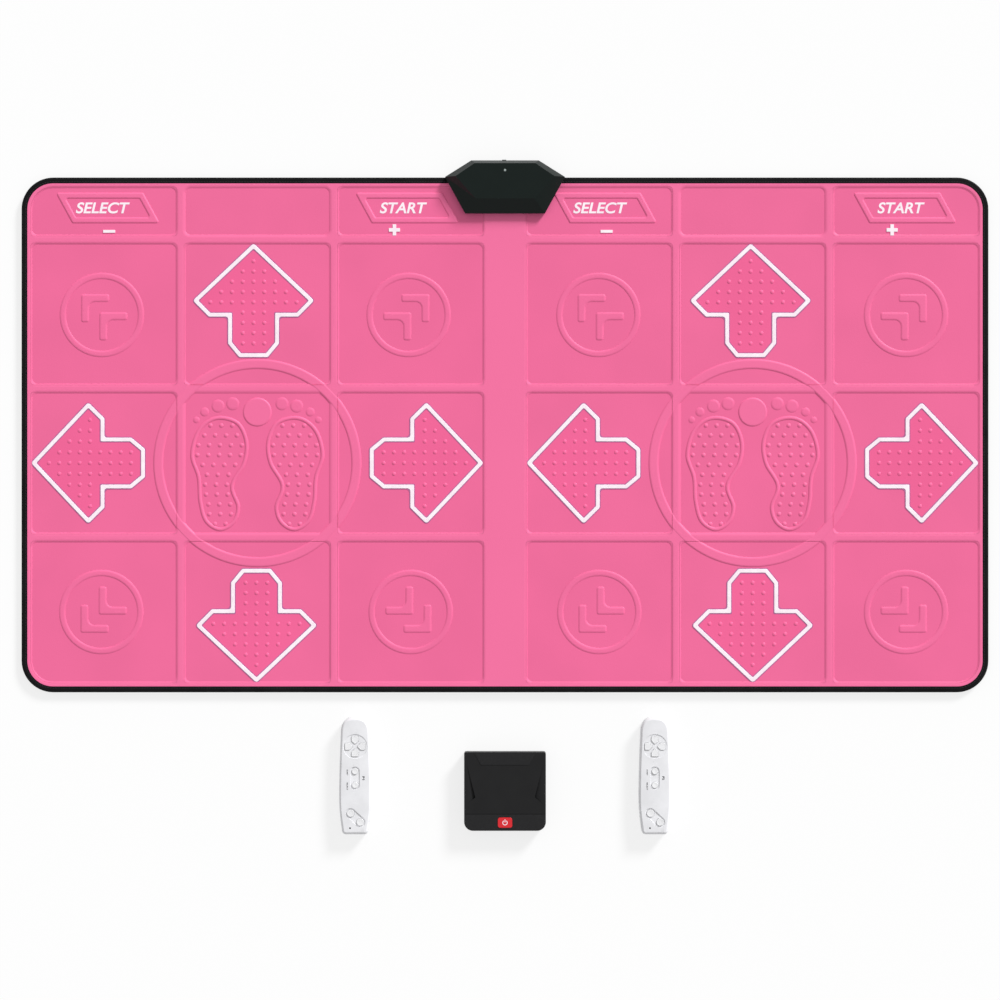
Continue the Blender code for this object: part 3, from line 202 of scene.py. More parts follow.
def noise_of(tree, point, scale, detail=2.0):
    noise = add_node(tree, "ShaderNodeTexNoise", Vector=point, Scale=scale, Detail=detail)
    return noise.outputs["Fac"]


def blend_of(tree, factor, low_colour, high_colour, low=0.35, high=0.65):
    """A ramp between two colours, driven by a pattern."""
    ramp = add_node(tree, "ShaderNodeValToRGB", Fac=factor)
    ends = ((low, low_colour), (high, high_colour))
    for element, (place, colour) in zip(ramp.color_ramp.elements, ends):
        element.position = place
        element.color = colour
    return ramp.outputs["Color"]


def mixed(tree, factor, first, second):
    """The first colour or height where the factor is nought, the second where it is one."""
    mix = add_node(tree, "ShaderNodeMixRGB", Fac=factor, Color1=first, Color2=second)
    return mix.outputs["Color"]


def level_of(tree, factor, low, high):
    """A pattern from 0 to 1, moved to another range."""
    level = add_node(tree, "ShaderNodeMapRange", Value=factor, To_Min=low, To_Max=high)
    return level.outputs["Result"]


def maths(tree, operation, *values):
    """What a Math node makes of numbers and other nodes' outputs."""
    node = add_node(tree, "ShaderNodeMath")
    node.operation = operation
    for socket, value in zip(node.inputs, values):
        give(tree, socket, value)
    return node.outputs[0]


def bump_of(tree, height, strength, distance, shader):
    """Feeds a pattern to the shader as relief that is too fine to model."""
    bump = add_node(tree, "ShaderNodeBump", Height=height, Strength=strength, Distance=distance)
    feed(tree, shader, Normal=bump.outputs["Normal"])
    return bump


print("white in a shader's values:", srgb(255, 255, 255))

# %% [markdown]
# The floor is a pale studio sheet. It has to look white and still show the soft shadows of what
# lies on it. So a camera ray sees a mix of a plain diffuse surface, which takes the shadow, and
# white light. Mirror and glass rays see the same mix, and no other ray does, so the floor throws
# no more light on the mat than real paper would.

# %% Floor
FLOOR_SIZE = 14.0
FLOOR_DROP = 0.0002     # below the mat's underside
FLOOR_WHITE = 0.76      # the share that stays white in a shadow

bpy.ops.mesh.primitive_plane_add(size=FLOOR_SIZE, location=(0.0, 0.0, -FLOOR_DROP))
floor = bpy.context.object
floor.name = "studio_floor"
floor_material = bpy.data.materials.new("studio_paper")
floor_material.use_nodes = True
paper = floor_material.node_tree
paper.nodes.clear()
matt = add_node(paper, "ShaderNodeBsdfDiffuse", Color=(0.93, 0.93, 0.93, 1.0))
glow = add_node(paper, "ShaderNodeEmission", Color=(1.0, 1.0, 1.0, 1.0), Strength=1.0)
rays = add_node(paper, "ShaderNodeLightPath").outputs
seen = maths(paper, "MAXIMUM", rays["Is Camera Ray"], rays["Is Glossy Ray"])
seen = maths(paper, "MAXIMUM", seen, rays["Is Transmission Ray"])
mix = add_node(paper, "ShaderNodeMixShader", Fac=maths(paper, "MULTIPLY", seen, FLOOR_WHITE))
paper.links.new(matt.outputs["BSDF"], mix.inputs[1])
paper.links.new(glow.outputs["Emission"], mix.inputs[2])
add_node(paper, "ShaderNodeOutputMaterial", Surface=mix.outputs["Shader"])
floor.data.materials.append(floor_material)
print("floor in metres:", tuple(floor.dimensions)[:2])

# %% [markdown]
# The skin is soft embossed vinyl: a fine pebbled grain, a little unevenness in the colour, and a
# painted highlight that makes the tops of ribs and studs a shade paler than the fields. The
# object's own coordinates are metres here, so the height above the floor can drive that highlight
# directly.

# %% Finishes of the skin
PINK = srgb(238, 101, 152)
HIGHLIGHT_PINK = srgb(244, 110, 160)
# painted highlight: the paler pink given to the tops of ribs and studs, where light would catch
# them
DEEP_PINK = srgb(241, 94, 149)
GRAIN_SCALE = 620.0

skin_low, skin_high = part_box("top_skin")
SHEET_T = 0.0015
PAD_TOP = skin_low.z + SHEET_T
RIB_TOP = skin_high.z
# the painted highlight grows from this height up to the tops of the ribs
HIGHLIGHT_FROM = PAD_TOP + 0.0004
HIGHLIGHT_MOST = 0.75      # the share of the painted highlight on top of a rib


def vinyl(name, colour, highlight_colour):
    material, tree, shader = bare_finish(name, colour, 0.55)
    point = place_of(tree)
    cloudy = noise_of(tree, point, 7.0)
    toned = blend_of(tree, cloudy, shade(colour, 0.975), shade(colour, 1.02))
    # painted highlight: the higher a point stands, the more of the paler pink it gets
    split = add_node(tree, "ShaderNodeSeparateXYZ", Vector=point)
    height = add_node(
        tree,
        "ShaderNodeMapRange",
        Value=split.outputs["Z"],
        From_Min=HIGHLIGHT_FROM,
        From_Max=RIB_TOP,
        To_Max=HIGHLIGHT_MOST,
    )
    feed(
        tree,
        shader,
        Base_Color=mixed(tree, height.outputs["Result"], toned, highlight_colour),
        Roughness=level_of(tree, cloudy, 0.50, 0.62),
        Sheen_Weight=0.12,
    )
    pebbles = add_node(tree, "ShaderNodeTexVoronoi", Vector=point, Scale=GRAIN_SCALE)
    bump_of(tree, pebbles.outputs["Distance"], 0.35, 0.00025, shader)
    return material


pink_vinyl = vinyl("pink_vinyl", PINK, HIGHLIGHT_PINK)
deep_vinyl = vinyl("deep_pink_vinyl", DEEP_PINK, HIGHLIGHT_PINK)


def printed(name, colour, worn_colour):
    """Thick screen print: faintly uneven, with the vinyl's grain under it."""
    material, tree, shader = bare_finish(name, colour, 0.5)
    point = place_of(tree)
    patchy = noise_of(tree, point, 60.0)
    feed(tree, shader, Base_Color=blend_of(tree, patchy, worn_colour, colour))
    bump_of(tree, noise_of(tree, point, GRAIN_SCALE), 0.2, 0.0002, shader)
    return material


white_print = printed("printed_white", srgb(255, 244, 250), srgb(250, 234, 243))
# painted shade: the mauve band along both sides of an arrow's raised white line
painted_welt_shade = printed("painted_welt_shade_mauve", srgb(184, 104, 156), srgb(174, 96, 148))
print("finishes so far:", [m.name for m in (pink_vinyl, deep_vinyl, white_print, painted_welt_shade)])

# %% [markdown]
# Nearly every part of the mat is flat: a sheet with an outline, some with windows cut out. A flat
# curve is the quickest way to draw one, as with a pen: Blender fills it, gives it thickness and
# rounds its rim in one go. The curve is then made a mesh, and the loose caps are welded to the
# walls. Curve points less than a third of a millimetre apart count as one point, so each outline
# is drawn a hundred times too large and the mesh is scaled down. A pointed outline gets its
# corners rounded first, with an arc at each corner. A boolean can leave slits without any width,
# so every cut ends by filling them.

# %% Plates cut from flat outlines
WELD = 0.000004         # points closer than this are one point
DRAWN = 100.0           # times its real size


def arc(centre, radius, start, end, steps):
    """Points round a centre between two angles in degrees."""
    points = []
    for k in range(steps + 1):
        angle = math.radians(start + (end - start) * k / steps)
        points.append((centre[0] + radius * math.cos(angle), centre[1] + radius * math.sin(angle)))
    return points


def ring_of(radius, steps, centre=(0.0, 0.0)):
    return arc(centre, radius, 0.0, 360.0, steps)[:-1]


def flat_box(x, y):
    """A rectangle between two x and two y values, anticlockwise from its lower left corner."""
    return [(x[0], y[0]), (x[1], y[0]), (x[1], y[1]), (x[0], y[1])]


def rounded_box(x, y, radii, steps=8):
    """A rectangle in the same order, with a radius for each corner."""
    corners = flat_box(x, y)
    inward = [(1, 1), (-1, 1), (-1, -1), (1, -1)]
    points = []
    for k, ((cx, cy), (sx, sy), radius) in enumerate(zip(corners, inward, radii)):
        start = 180 + 90 * k
        points += arc((cx + sx * radius, cy + sy * radius), radius, start, start + 90, steps)
    return points


def eased(points, radius, steps=4):
    """The same outline with an arc of that radius in place of each corner."""
    made = []
    for k, corner in enumerate(points):
        here = Vector(corner)
        back = (Vector(points[k - 1]) - here).normalized()
        ahead = (Vector(points[(k + 1) % len(points)]) - here).normalized()
        half = back.angle(ahead) / 2
        reach = radius / math.tan(half)
        middle = here + (back + ahead).normalized() * radius / math.sin(half)
        first = here + back * reach - middle
        turn = first.angle_signed(here + ahead * reach - middle)
        for step in range(steps + 1):
            spoke = first.copy()
            spoke.rotate(Matrix.Rotation(-turn * step / steps, 2))
            made.append(tuple(middle + spoke))
    return made


def drawn_in(points, distance):
    """The outline moved inwards by a distance, corners kept sharp; it runs anticlockwise."""
    made = []
    for k, corner in enumerate(points):
        here = Vector(corner)
        before = (here - Vector(points[k - 1])).normalized()
        after = (Vector(points[(k + 1) % len(points)]) - here).normalized()
        inward = Vector((-before.y, before.x)) + Vector((-after.y, after.x))
        made.append(tuple(here + inward * distance / (1 + before.dot(after))))
    return made


def outline_curve(name, outlines, enlarge=1.0):
    """A flat curve with a closed line for every outline."""
    curve = bpy.data.curves.new(name, "CURVE")
    curve.dimensions = "2D"
    for outline in outlines:
        spline = curve.splines.new("POLY")
        spline.points.add(len(outline) - 1)
        for point, (x, y) in zip(spline.points, outline):
            point.co = (enlarge * x, enlarge * y, 0.0, 1.0)
        spline.use_cyclic_u = True
    path = bpy.data.objects.new(name, curve)
    bpy.context.collection.objects.link(path)
    return path


def settled(piece):
    """Makes the object's place, turn and scale part of its mesh."""
    pick(piece)
    bpy.ops.object.transform_apply(location=True, rotation=True, scale=True)
    return piece


def welded(piece):
    """Joins points that coincide and turns every face outward."""
    return in_edit_mode(
        piece,
        partial(bpy.ops.mesh.remove_doubles, threshold=WELD),
        partial(bpy.ops.mesh.normals_make_consistent, inside=False),
    )


def plate(name, outlines, low, high, rim=0.0, rim_steps=2):
    """A closed mesh from low to high. Outlines inside the first are windows."""
    path = outline_curve(name, outlines, DRAWN)
    path.data.fill_mode = "BOTH"
    path.data.extrude = DRAWN * ((high - low) / 2 - rim)
    path.data.bevel_depth = DRAWN * rim
    path.data.bevel_resolution = rim_steps
    path.data.offset = -DRAWN * rim
    pick(path)
    bpy.ops.object.convert(target="MESH")
    piece = bpy.context.object
    piece.scale = (1 / DRAWN, 1 / DRAWN, 1 / DRAWN)
    piece.location.z = (low + high) / 2
    return welded(settled(piece))


def copy_of(piece, name, shift=(0.0, 0.0, 0.0), quarter_turns=0):
    """A copy with its own mesh, turned about the world's Z axis and then moved."""
    twin = piece.copy()
    twin.data = piece.data.copy()
    twin.name = name
    bpy.context.collection.objects.link(twin)
    twin.rotation_euler.z = math.radians(90 * quarter_turns)
    twin.location = shift
    return settled(twin)


def joined(name, *pieces):
    pick(*pieces)
    bpy.ops.object.join()
    whole = bpy.context.object
    whole.name = name
    return whole


def carve(piece, cutter, operation="DIFFERENCE"):
    """Cuts one closed mesh with another, joins them or keeps what they share."""
    pick(piece)
    boolean = piece.modifiers.new("carve", "BOOLEAN")
    boolean.operation = operation
    boolean.object = cutter
    bpy.ops.object.modifier_apply(modifier="carve")
    discard(cutter)
    return in_edit_mode(piece, partial(bpy.ops.mesh.fill_holes, sides=4))


def dressed(piece, material, body, slot, *nodes, angle=30.0):
    """Finishes a piece: material, smooth shading, the body it rides on, the solids it covers."""
    piece.data.materials.clear()
    piece.data.materials.append(material)
    pick(piece)
    bpy.ops.object.shade_smooth_by_angle(angle=math.radians(angle))
    piece.modifiers.new("flat_faces_stay_flat", "WEIGHTED_NORMAL").keep_sharp = True
    bpy.ops.object.modifier_apply(modifier="flat_faces_stay_flat")
    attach(piece, body)
    if nodes:
        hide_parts(*nodes)
    return piece


trial = plate("trial", [rounded_box((-1, 1), (-1, 1), [0.2] * 4)], 0.0, 0.1, 0.02)
print("a trial plate has", len(trial.data.vertices), "points and is", tuple(trial.dimensions))
discard(trial)

# %% [markdown]
# Each player has nine square fields and three narrow ones behind them. Ten are pads that sink
# underfoot and two are part of the skin. A pad's solid gives its rectangle. The skin's window is
# that rectangle grown by a little, and the ribs begin a little inside it. The middle field, which
# has no pad of its own, takes its sides from its neighbours.

# %% Where the fields are
PLAYERS = ("p1", "p2")
PAD_NAMES = (
    "up", "down", "left", "right", "upper_left", "upper_right", "lower_left", "lower_right",
    "select", "start",
)
FIXED_FIELDS = {"centre": ("up", "left"), "blank": ("up", "select")}
FIELD_R = 0.0045        # inner corners
MAT_CORNER_R = 0.0375   # of a pad in the mat's own corner
FIELD_R_LEAST = 0.0005
WINDOW_GROW = 0.0005    # from a pad to the window round it
CORNER_REACH = 0.03     # a field with a corner this near the mat's edge lies in its corner

mat_low, mat_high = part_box("edge_binding")


def field_sides(player, field):
    """The x pair and the y pair of a field."""
    for_x, for_y = FIXED_FIELDS.get(field, (field, field))
    x_low, x_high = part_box(f"{player}_{for_x}_pad")
    y_low, y_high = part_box(f"{player}_{for_y}_pad")
    return (x_low.x, x_high.x), (y_low.y, y_high.y)


def field_outline(player, field, grow):
    x, y = field_sides(player, field)
    radii = []
    for cx, cy in flat_box(x, y):
        at_side = abs(cx) > mat_high.x - CORNER_REACH
        at_end = abs(cy) > mat_high.y - CORNER_REACH
        radius = MAT_CORNER_R if at_side and at_end else FIELD_R
        radii.append(max(radius + grow, FIELD_R_LEAST))
    return rounded_box((x[0] - grow, x[1] + grow), (y[0] - grow, y[1] + grow), radii)


def field_middle(player, field):
    x, y = field_sides(player, field)
    return (sum(x) / 2, sum(y) / 2)


PLAYER_SHIFT = field_middle("p2", "up")[0] - field_middle("p1", "up")[0]
print("field up of player 1 in mm:", [round(1000 * v, 1) for v in field_middle("p1", "up")])
print("from player to player in mm:", round(1000 * PLAYER_SHIFT, 1))

# %% [markdown]
# The massage studs are the commonest shape on the mat, a few hundred of them, so one is modelled
# with very few faces and copied. It is the cap of a coarse sphere: a bisect cuts it off and closes
# the cut, and it is pressed flat. Its foot goes a little way into the surface it stands on.

# %% One stud
STUD_R = 0.0045
STUD_H = 0.0012
STUD_FACETS = 10
SINK = 0.0003           # of a raised figure's foot below the surface
CAP_ANGLE = math.radians(54)

cap_sphere_r = STUD_R / math.sin(CAP_ANGLE)
cap_foot = cap_sphere_r * math.cos(CAP_ANGLE)
cap_press = (STUD_H + SINK) / (cap_sphere_r - cap_foot)


def cut_level(z, keep=1.0):
    """A step that closes a level cut; it keeps what is above the cut, or below it with -1."""
    return partial(
        bpy.ops.mesh.bisect,
        plane_co=(0.0, 0.0, z),
        plane_no=(0.0, 0.0, keep),
        use_fill=True,
        clear_inner=True,
    )


bpy.ops.mesh.primitive_uv_sphere_add(
    segments=STUD_FACETS, ring_count=STUD_FACETS, radius=cap_sphere_r
)
stud = in_edit_mode(
    bpy.context.object,
    cut_level(cap_foot),
    partial(bpy.ops.mesh.select_all, action="SELECT"),
    partial(bpy.ops.transform.translate, value=(0.0, 0.0, -cap_foot)),
    partial(bpy.ops.transform.resize, value=(1.0, 1.0, cap_press), center_override=(0.0, 0.0, 0.0)),
    partial(bpy.ops.transform.translate, value=(0.0, 0.0, PAD_TOP - SINK)),
)
stud.name = "stud"


def studs_at(name, places):
    """A copy of the stud at each place, all in one mesh."""
    copies = [copy_of(stud, f"{name}_{k}", (x, y, 0.0)) for k, (x, y) in enumerate(places)]
    return joined(name, *copies)


print("one stud has", len(stud.data.polygons), "faces")

# %% [markdown]
# The skin is one moulding: a thin sheet with a window for every pad, ribs round the fields, and in
# the middle of each player's square two bare footprints. Pressed vinyl has no sharp edge: a rib
# rises in a soft curve that is wider than it is high. So a ridge is the top slice of a thick
# plate with a wide round rim, and a bisect cuts away what would lie under the surface. The soft
# feet of the ribs run out over the edges of the pads. So the same ribs are used twice: cut by the
# windows they belong to the skin, and the part inside a window is joined to its pad.

# %% Skin: sheet and ribs
BINDING_W = 0.010
LAYER_INSET = 0.0018    # of the sheets inside the binding's fold
MAT_R = 0.054
RIB_SIDE = 0.0070       # the width over which a rib rises
RIB_FOOT = -0.0027      # from a pad's edge out to the foot of the ribs, so it lies on the pad
RIB_STEPS = 18
RIDGE_STEPS = 8
CUT_GAP = 0.0001        # keeps a cut clear of the edge that it follows
SEAT = 0.0006           # by which joined shapes run into each other
GAP = 0.0003            # between neighbours


def mat_outline(inset, steps=14):
    x = mat_high.x - inset
    y = mat_high.y - inset
    return rounded_box((-x, x), (-y, y), [MAT_R - inset] * 4, steps)


def windows(fields, grow):
    return [field_outline(player, field, grow) for player in PLAYERS for field in fields]


def rim_for(rise, side):
    """The radius that spreads a rise over a width, and how far in from the outline it starts."""
    radius = (side**2 + rise**2) / (2 * rise)
    return radius, radius - side


def ridge(name, outlines, high, radius, steps=RIDGE_STEPS):
    """A figure raised from the fields' surface to a height, with soft sides."""
    piece = plate(name, outlines, high - 2 * radius - SEAT, high, radius, steps)
    return in_edit_mode(piece, cut_level(PAD_TOP - SINK))


sheet = plate(
    "skin_sheet",
    [mat_outline(LAYER_INSET), *windows(PAD_NAMES, WINDOW_GROW)],
    skin_low.z,
    PAD_TOP,
)
RIB_ROUND, RIB_START = rim_for(RIB_TOP - PAD_TOP + SINK, RIB_SIDE)


def ribs_between(name, border, openings):
    return ridge(name, [border, *openings], RIB_TOP, RIB_ROUND, RIB_STEPS)


def within(shape, outline):
    """The part of a shape that lies over an outline."""
    column = plate("column", [outline], PAD_TOP - SEAT, 2 * RIB_TOP)
    return carve(shape, column, "INTERSECT")


ribs = ribs_between(
    "skin_ribs",
    mat_outline(-RIB_ROUND),
    windows((*PAD_NAMES, *FIXED_FIELDS), RIB_FOOT - RIB_START),
)
within(ribs, mat_outline(BINDING_W + GAP))
wide_windows = windows(PAD_NAMES, WINDOW_GROW + CUT_GAP)
carve(ribs, plate("windows", wide_windows, PAD_TOP - SEAT, 2 * RIB_TOP))
print("ribs:", len(ribs.data.polygons), "faces, top at", round(1000 * RIB_TOP, 1), "mm")

# %% [markdown]
# A footprint is a sole, drawn as a raised line with studs inside, and five toes. The sole needs
# only a few points, because a curve that runs smoothly through them does the rest. The studs sit
# in rows: each row is centred between the two sides of the sole at its height. The left foot is
# the right one mirrored, and the two big toes meet in one large round.

# %% Skin: footprints
SOLE = (                # the right sole: tip, down the inner side, heel, up the outer side
    (0.0580, 0.0805),
    (0.0290, 0.0685),
    (0.0148, 0.0350),
    (0.0195, -0.0020),
    (0.0395, -0.0390),
    (0.0290, -0.0740),
    (0.0380, -0.1030),
    (0.0637, -0.1167),
    (0.0900, -0.1010),
    (0.1007, -0.0660),
    (0.1035, -0.0250),
    (0.1148, 0.0120),
    (0.1060, 0.0510),
    (0.0850, 0.0745),
)
SOLE_LINE_W = 0.0072
SOLE_STEPS = 6          # from one of its points to the next
TOES = (                # x, y and radius of the small toes
    (0.0420, 0.1010, 0.0120),
    (0.0670, 0.0970, 0.0120),
    (0.0900, 0.0870, 0.0085),
    (0.1040, 0.0735, 0.0065),
)
TOE_STEPS = 24
BIG_TOE = ((0.0, 0.087), 0.025)
BIG_TOE_STEPS = 40
EMBOSS_H = 0.0013
EMBOSS_SIDE = 0.0033
TOE_H = 0.0009
TOE_SIDE = 0.0045
STUD_PITCH = 0.0185
STUD_ROW_FIRST = 0.064
STUD_ROW_PITCH = 0.0168
STUDS_IN_ROWS = (3, 4, 5, 5, 4, 3, 3, 3, 3, 3, 2)


def through(points, steps):
    """A closed curve through the points, by Catmull and Rom's rule."""
    made = []
    for k, here in enumerate(points):
        knots = (points[k - 1], here, points[(k + 1) % len(points)], points[(k + 2) % len(points)])
        for step in range(steps):
            t = step / steps
            weights = (
                (-t + 2 * t**2 - t**3) / 2,
                (2 - 5 * t**2 + 3 * t**3) / 2,
                (t + 4 * t**2 - 3 * t**3) / 2,
                (t**3 - t**2) / 2,
            )
            x = sum(weight * knot[0] for weight, knot in zip(weights, knots))
            y = sum(weight * knot[1] for weight, knot in zip(weights, knots))
            made.append((x, y))
    return made


def middle_at(outline, y):
    """Halfway between the two places where an outline crosses that y."""
    crossings = []
    for (ax, ay), (bx, by) in zip(outline, [*outline[1:], outline[0]]):
        if (ay - y) * (by - y) < 0:
            crossings.append(ax + (bx - ax) * (y - ay) / (by - ay))
    return sum(crossings) / len(crossings)


def row_of(count, middle, pitch):
    return [middle + pitch * (k - (count - 1) / 2) for k in range(count)]


EMBOSS_ROUND, EMBOSS_START = rim_for(EMBOSS_H + SINK, EMBOSS_SIDE)
TOE_ROUND, TOE_START = rim_for(TOE_H + SINK, TOE_SIDE)


def embossed(name, outlines):
    """A pressed figure; its outlines are drawn where its sides would end, deep below."""
    return ridge(name, outlines, PAD_TOP + EMBOSS_H, EMBOSS_ROUND)


sole = through(SOLE, SOLE_STEPS)
sole_outer = drawn_in(sole, -EMBOSS_START)
right_foot = [embossed("sole", [sole_outer, drawn_in(sole, SOLE_LINE_W + EMBOSS_START)])]
for x, y, radius in TOES:
    round_toe = ring_of(radius + TOE_START, TOE_STEPS, (x, y))
    right_foot.append(ridge("toe", [round_toe], PAD_TOP + TOE_H, TOE_ROUND))
stud_places = []
for row, count in enumerate(STUDS_IN_ROWS):
    y = STUD_ROW_FIRST - STUD_ROW_PITCH * row
    stud_places += [(x, y) for x in row_of(count, middle_at(sole, y), STUD_PITCH)]
right_foot.append(studs_at("sole_studs", stud_places))
right_foot = joined("right_foot", *right_foot)

left_foot = copy_of(right_foot, "left_foot")
pick(left_foot)
bpy.ops.transform.mirror(constraint_axis=(True, False, False), center_override=(0.0, 0.0, 0.0))
in_edit_mode(left_foot, partial(bpy.ops.mesh.normals_make_consistent, inside=False))
big_toe = ring_of(BIG_TOE[1] + EMBOSS_START, BIG_TOE_STEPS, BIG_TOE[0])
big_toes = embossed("big_toes", [big_toe])
feet = joined("feet", left_foot, right_foot, big_toes)
print("studs under each foot:", len(stud_places), "- both feet:", len(feet.data.polygons), "faces")

# %% [markdown]
# A wide ring runs round the footprints. Most of it lies on the four pads beside the middle field,
# where it is pressed like the other figures. Only its four shortest stretches cross the ribs at
# the field's corners, so these are cut from a higher ring that also climbs over the ribs.

# %% Skin: the large ring
LARGE_RING_R = 0.178
LARGE_RING_W = 0.018
LARGE_RING_SIDE = 0.0040
LARGE_RING_STEPS = 120
OVER_RIB = 0.0004       # from the top of a rib to the top of a crossing
RIBS_ROUND_FIELD = 0.0125
RING_ROUND, RING_START = rim_for(EMBOSS_H + SINK, LARGE_RING_SIDE)


def large_ring(player, high):
    middle = field_middle(player, "centre")
    outer = ring_of(LARGE_RING_R + RING_START, LARGE_RING_STEPS, middle)
    inner = ring_of(LARGE_RING_R - LARGE_RING_W - RING_START, LARGE_RING_STEPS, middle)
    return ridge(f"{player}_ring", [outer, inner], high, RING_ROUND)


crossings = []
for player in PLAYERS:
    around = field_outline(player, "centre", RIBS_ROUND_FIELD)
    crossings.append(within(large_ring(player, RIB_TOP + OVER_RIB), around))
print("points in the four crossings of a ring:", len(crossings[0].data.vertices))

# %% [markdown]
# Now the skin's shapes become one piece. Each player's feet are a copy moved to the middle field.
# The shapes run a little way into each other and stay closed, so no seam opens between them.

# %% Skin: put together
skin_shapes = [sheet, ribs, *crossings]
for player in PLAYERS:
    skin_shapes.append(copy_of(feet, f"{player}_feet", (*field_middle(player, "centre"), 0.0)))
discard(feet)
skin = joined("skin", *skin_shapes)
dressed(skin, pink_vinyl, "mat", "pink_skin", "top_skin")
print("skin:", len(skin.data.polygons), "faces")

# %% [markdown]
# A pad is a plate of the same vinyl with a contact plate under it and its figure on top. Four
# figures repeat: the arrow, the ring with two chevrons, and the two slanted label frames. The
# arrow and the ring are modelled once, pointing one way, and turned by quarter turns for the rest.

# %% Pads: ring and chevrons
RING_R = 0.0726
RING_W = 0.012
RING_STEPS = 72
CHEVRON_ARM = 0.049
CHEVRON_W = 0.0145
CHEVRON_FIRST = 0.036   # from the ring's middle to the first corner, along each axis
CHEVRON_STEP = 0.031
CORNER_H = 0.0010
CORNER_SIDE = 0.0040
ROUNDER = 1.03          # a plate's corners have to be rounder than its rim
CORNER_ROUND, CORNER_START = rim_for(CORNER_H + SINK, CORNER_SIDE)


def chevron(corner):
    """An L whose corner points to the upper right."""
    arm, wide = CHEVRON_ARM, CHEVRON_W
    points = [(0, 0), (-arm, 0), (-arm, -wide), (-wide, -wide), (-wide, -arm), (0, -arm)]
    points = [(corner + x, corner + y) for x, y in points]
    points = eased(drawn_in(points, -CORNER_START), ROUNDER * CORNER_ROUND)
    return ridge("chevron", [points], PAD_TOP + CORNER_H, CORNER_ROUND)


ring_radii = (RING_R + CORNER_START, RING_R - RING_W - CORNER_START)
ring_outlines = [ring_of(radius, RING_STEPS) for radius in ring_radii]
corner_figure = joined(
    "corner_figure",
    ridge("ring", ring_outlines, PAD_TOP + CORNER_H, CORNER_ROUND),
    chevron(CHEVRON_FIRST),
    chevron(CHEVRON_FIRST - CHEVRON_STEP),
)
print("corner figure:", len(corner_figure.data.polygons), "faces")

# %% [markdown]
# The arrow has three layers. A slightly darker field is sunk between the lines and carries the
# studs, and a thick white line is printed round it on a raised welt. Along both sides of the
# welt runs a thin mauve band of painted shade, where the welt's sides would be in shadow. The
# studs stand in rows that grow by two towards the shoulders, and then run down the stem three by
# three.

# %% Pads: arrow
ARROW_HALF_W = 0.1035
ARROW_TIP = 0.0975      # from the apex back to the widest point
ARROW_SHOULDER = 0.125  # from the apex back to the straight shoulder
ARROW_SHOULDER_X = 0.0762
ARROW_LENGTH = 0.194
STEM_HALF_W = 0.0433
STEM_CHAMFER_X = 0.019
STEM_CHAMFER_Y = 0.023
ARROW_LINE_W = 0.0065
ARROW_LINE_H = 0.0010
ARROW_EASE = 0.0045     # rounds the apex, which is drawn right at the pad's edge
ARROW_INNER_EASE = ARROW_EASE / 2
ARROW_SHADE_W = 0.0015   # of the painted shade band on either side of the line
ARROW_SHADE_H = 0.0004
ARROW_FIELD_H = 0.0002
ARROW_ROWS = 9
ARROW_ROW_FIRST = 0.0304
ARROW_ROW_PITCH = 0.0175
ARROW_STUD_PITCH = 0.0184
ROWS_IN_HEAD = 5
STUDS_IN_STEM = 3

right_half = [
    (STEM_HALF_W - STEM_CHAMFER_X, -ARROW_LENGTH),
    (STEM_HALF_W, STEM_CHAMFER_Y - ARROW_LENGTH),
    (STEM_HALF_W, -ARROW_SHOULDER),
    (ARROW_SHOULDER_X, -ARROW_SHOULDER),
    (ARROW_HALF_W, -ARROW_TIP),
]
arrow = [*right_half, (0.0, 0.0), *[(-x, y) for x, y in reversed(right_half)]]
line_outer = eased(arrow, ARROW_EASE)
line_inner = eased(drawn_in(arrow, ARROW_LINE_W), ARROW_INNER_EASE)
line_top = PAD_TOP + ARROW_LINE_H
arrow_line = plate(
    "arrow_line", [line_outer, line_inner], PAD_TOP - SINK, line_top, ARROW_LINE_H / 2, 3
)
# painted shade: a mauve band along both sides of the raised line, where its sides would be in
# shadow
shade_outer = eased(drawn_in(arrow, -ARROW_SHADE_W), ARROW_EASE + ARROW_SHADE_W)
shade_inner = eased(drawn_in(arrow, ARROW_LINE_W + ARROW_SHADE_W), ARROW_INNER_EASE)
arrow_edge = plate("arrow_edge", [shade_outer, shade_inner], PAD_TOP - SINK, PAD_TOP + ARROW_SHADE_H)
arrow_places = []
for row in range(ARROW_ROWS):
    count = 2 * row + 1 if row < ROWS_IN_HEAD else STUDS_IN_STEM
    y = -ARROW_ROW_FIRST - ARROW_ROW_PITCH * row
    arrow_places += [(x, y) for x in row_of(count, 0.0, ARROW_STUD_PITCH)]
ground = eased(drawn_in(arrow, ARROW_LINE_W - SEAT), ARROW_INNER_EASE)
arrow_field = joined(
    "arrow_field",
    plate("arrow_ground", [ground], PAD_TOP - SINK, PAD_TOP + ARROW_FIELD_H),
    studs_at("arrow_studs", arrow_places),
)
print("studs in an arrow:", len(arrow_places))

# %% [markdown]
# The narrow pads carry a slanted frame with a word in it and a plain sign in front. The built-in
# font is upright and light, so the text object is sheared and thickened, made a mesh, and then
# scaled to the width and height that the printed word has.

# %% Pads: label frames, words and signs
TAG_W = 0.150
TAG_H = 0.053
TAG_SLANT = 0.029
TAG_LINE_W = 0.011
TAG_EASE = 0.0044
TAG_INNER_EASE = TAG_EASE / 4
TAG_RISE = 0.006        # of a frame above the middle of its row
TAG_SHIFT = {"select": 0.004, "start": -0.008}
PRINT_T = 0.0003
WORD_H = 0.019
WORD_W = {"select": 0.092, "start": 0.0805}
WORD_SHIFT = {"select": -0.0045, "start": -0.0145}
WORD_Y = 0.387
WORD_SLANT = 0.22
WORD_BOLD = 0.022
SIGN_SHIFT = {"select": 0.0065, "start": -0.0297}
SIGN_Y = {"select": 0.3470, "start": 0.3495}
SIGN_L = {"select": 0.0205, "start": 0.019}
SIGN_W = {"select": 0.0048, "start": 0.0060}
SIGN_H = 0.0010


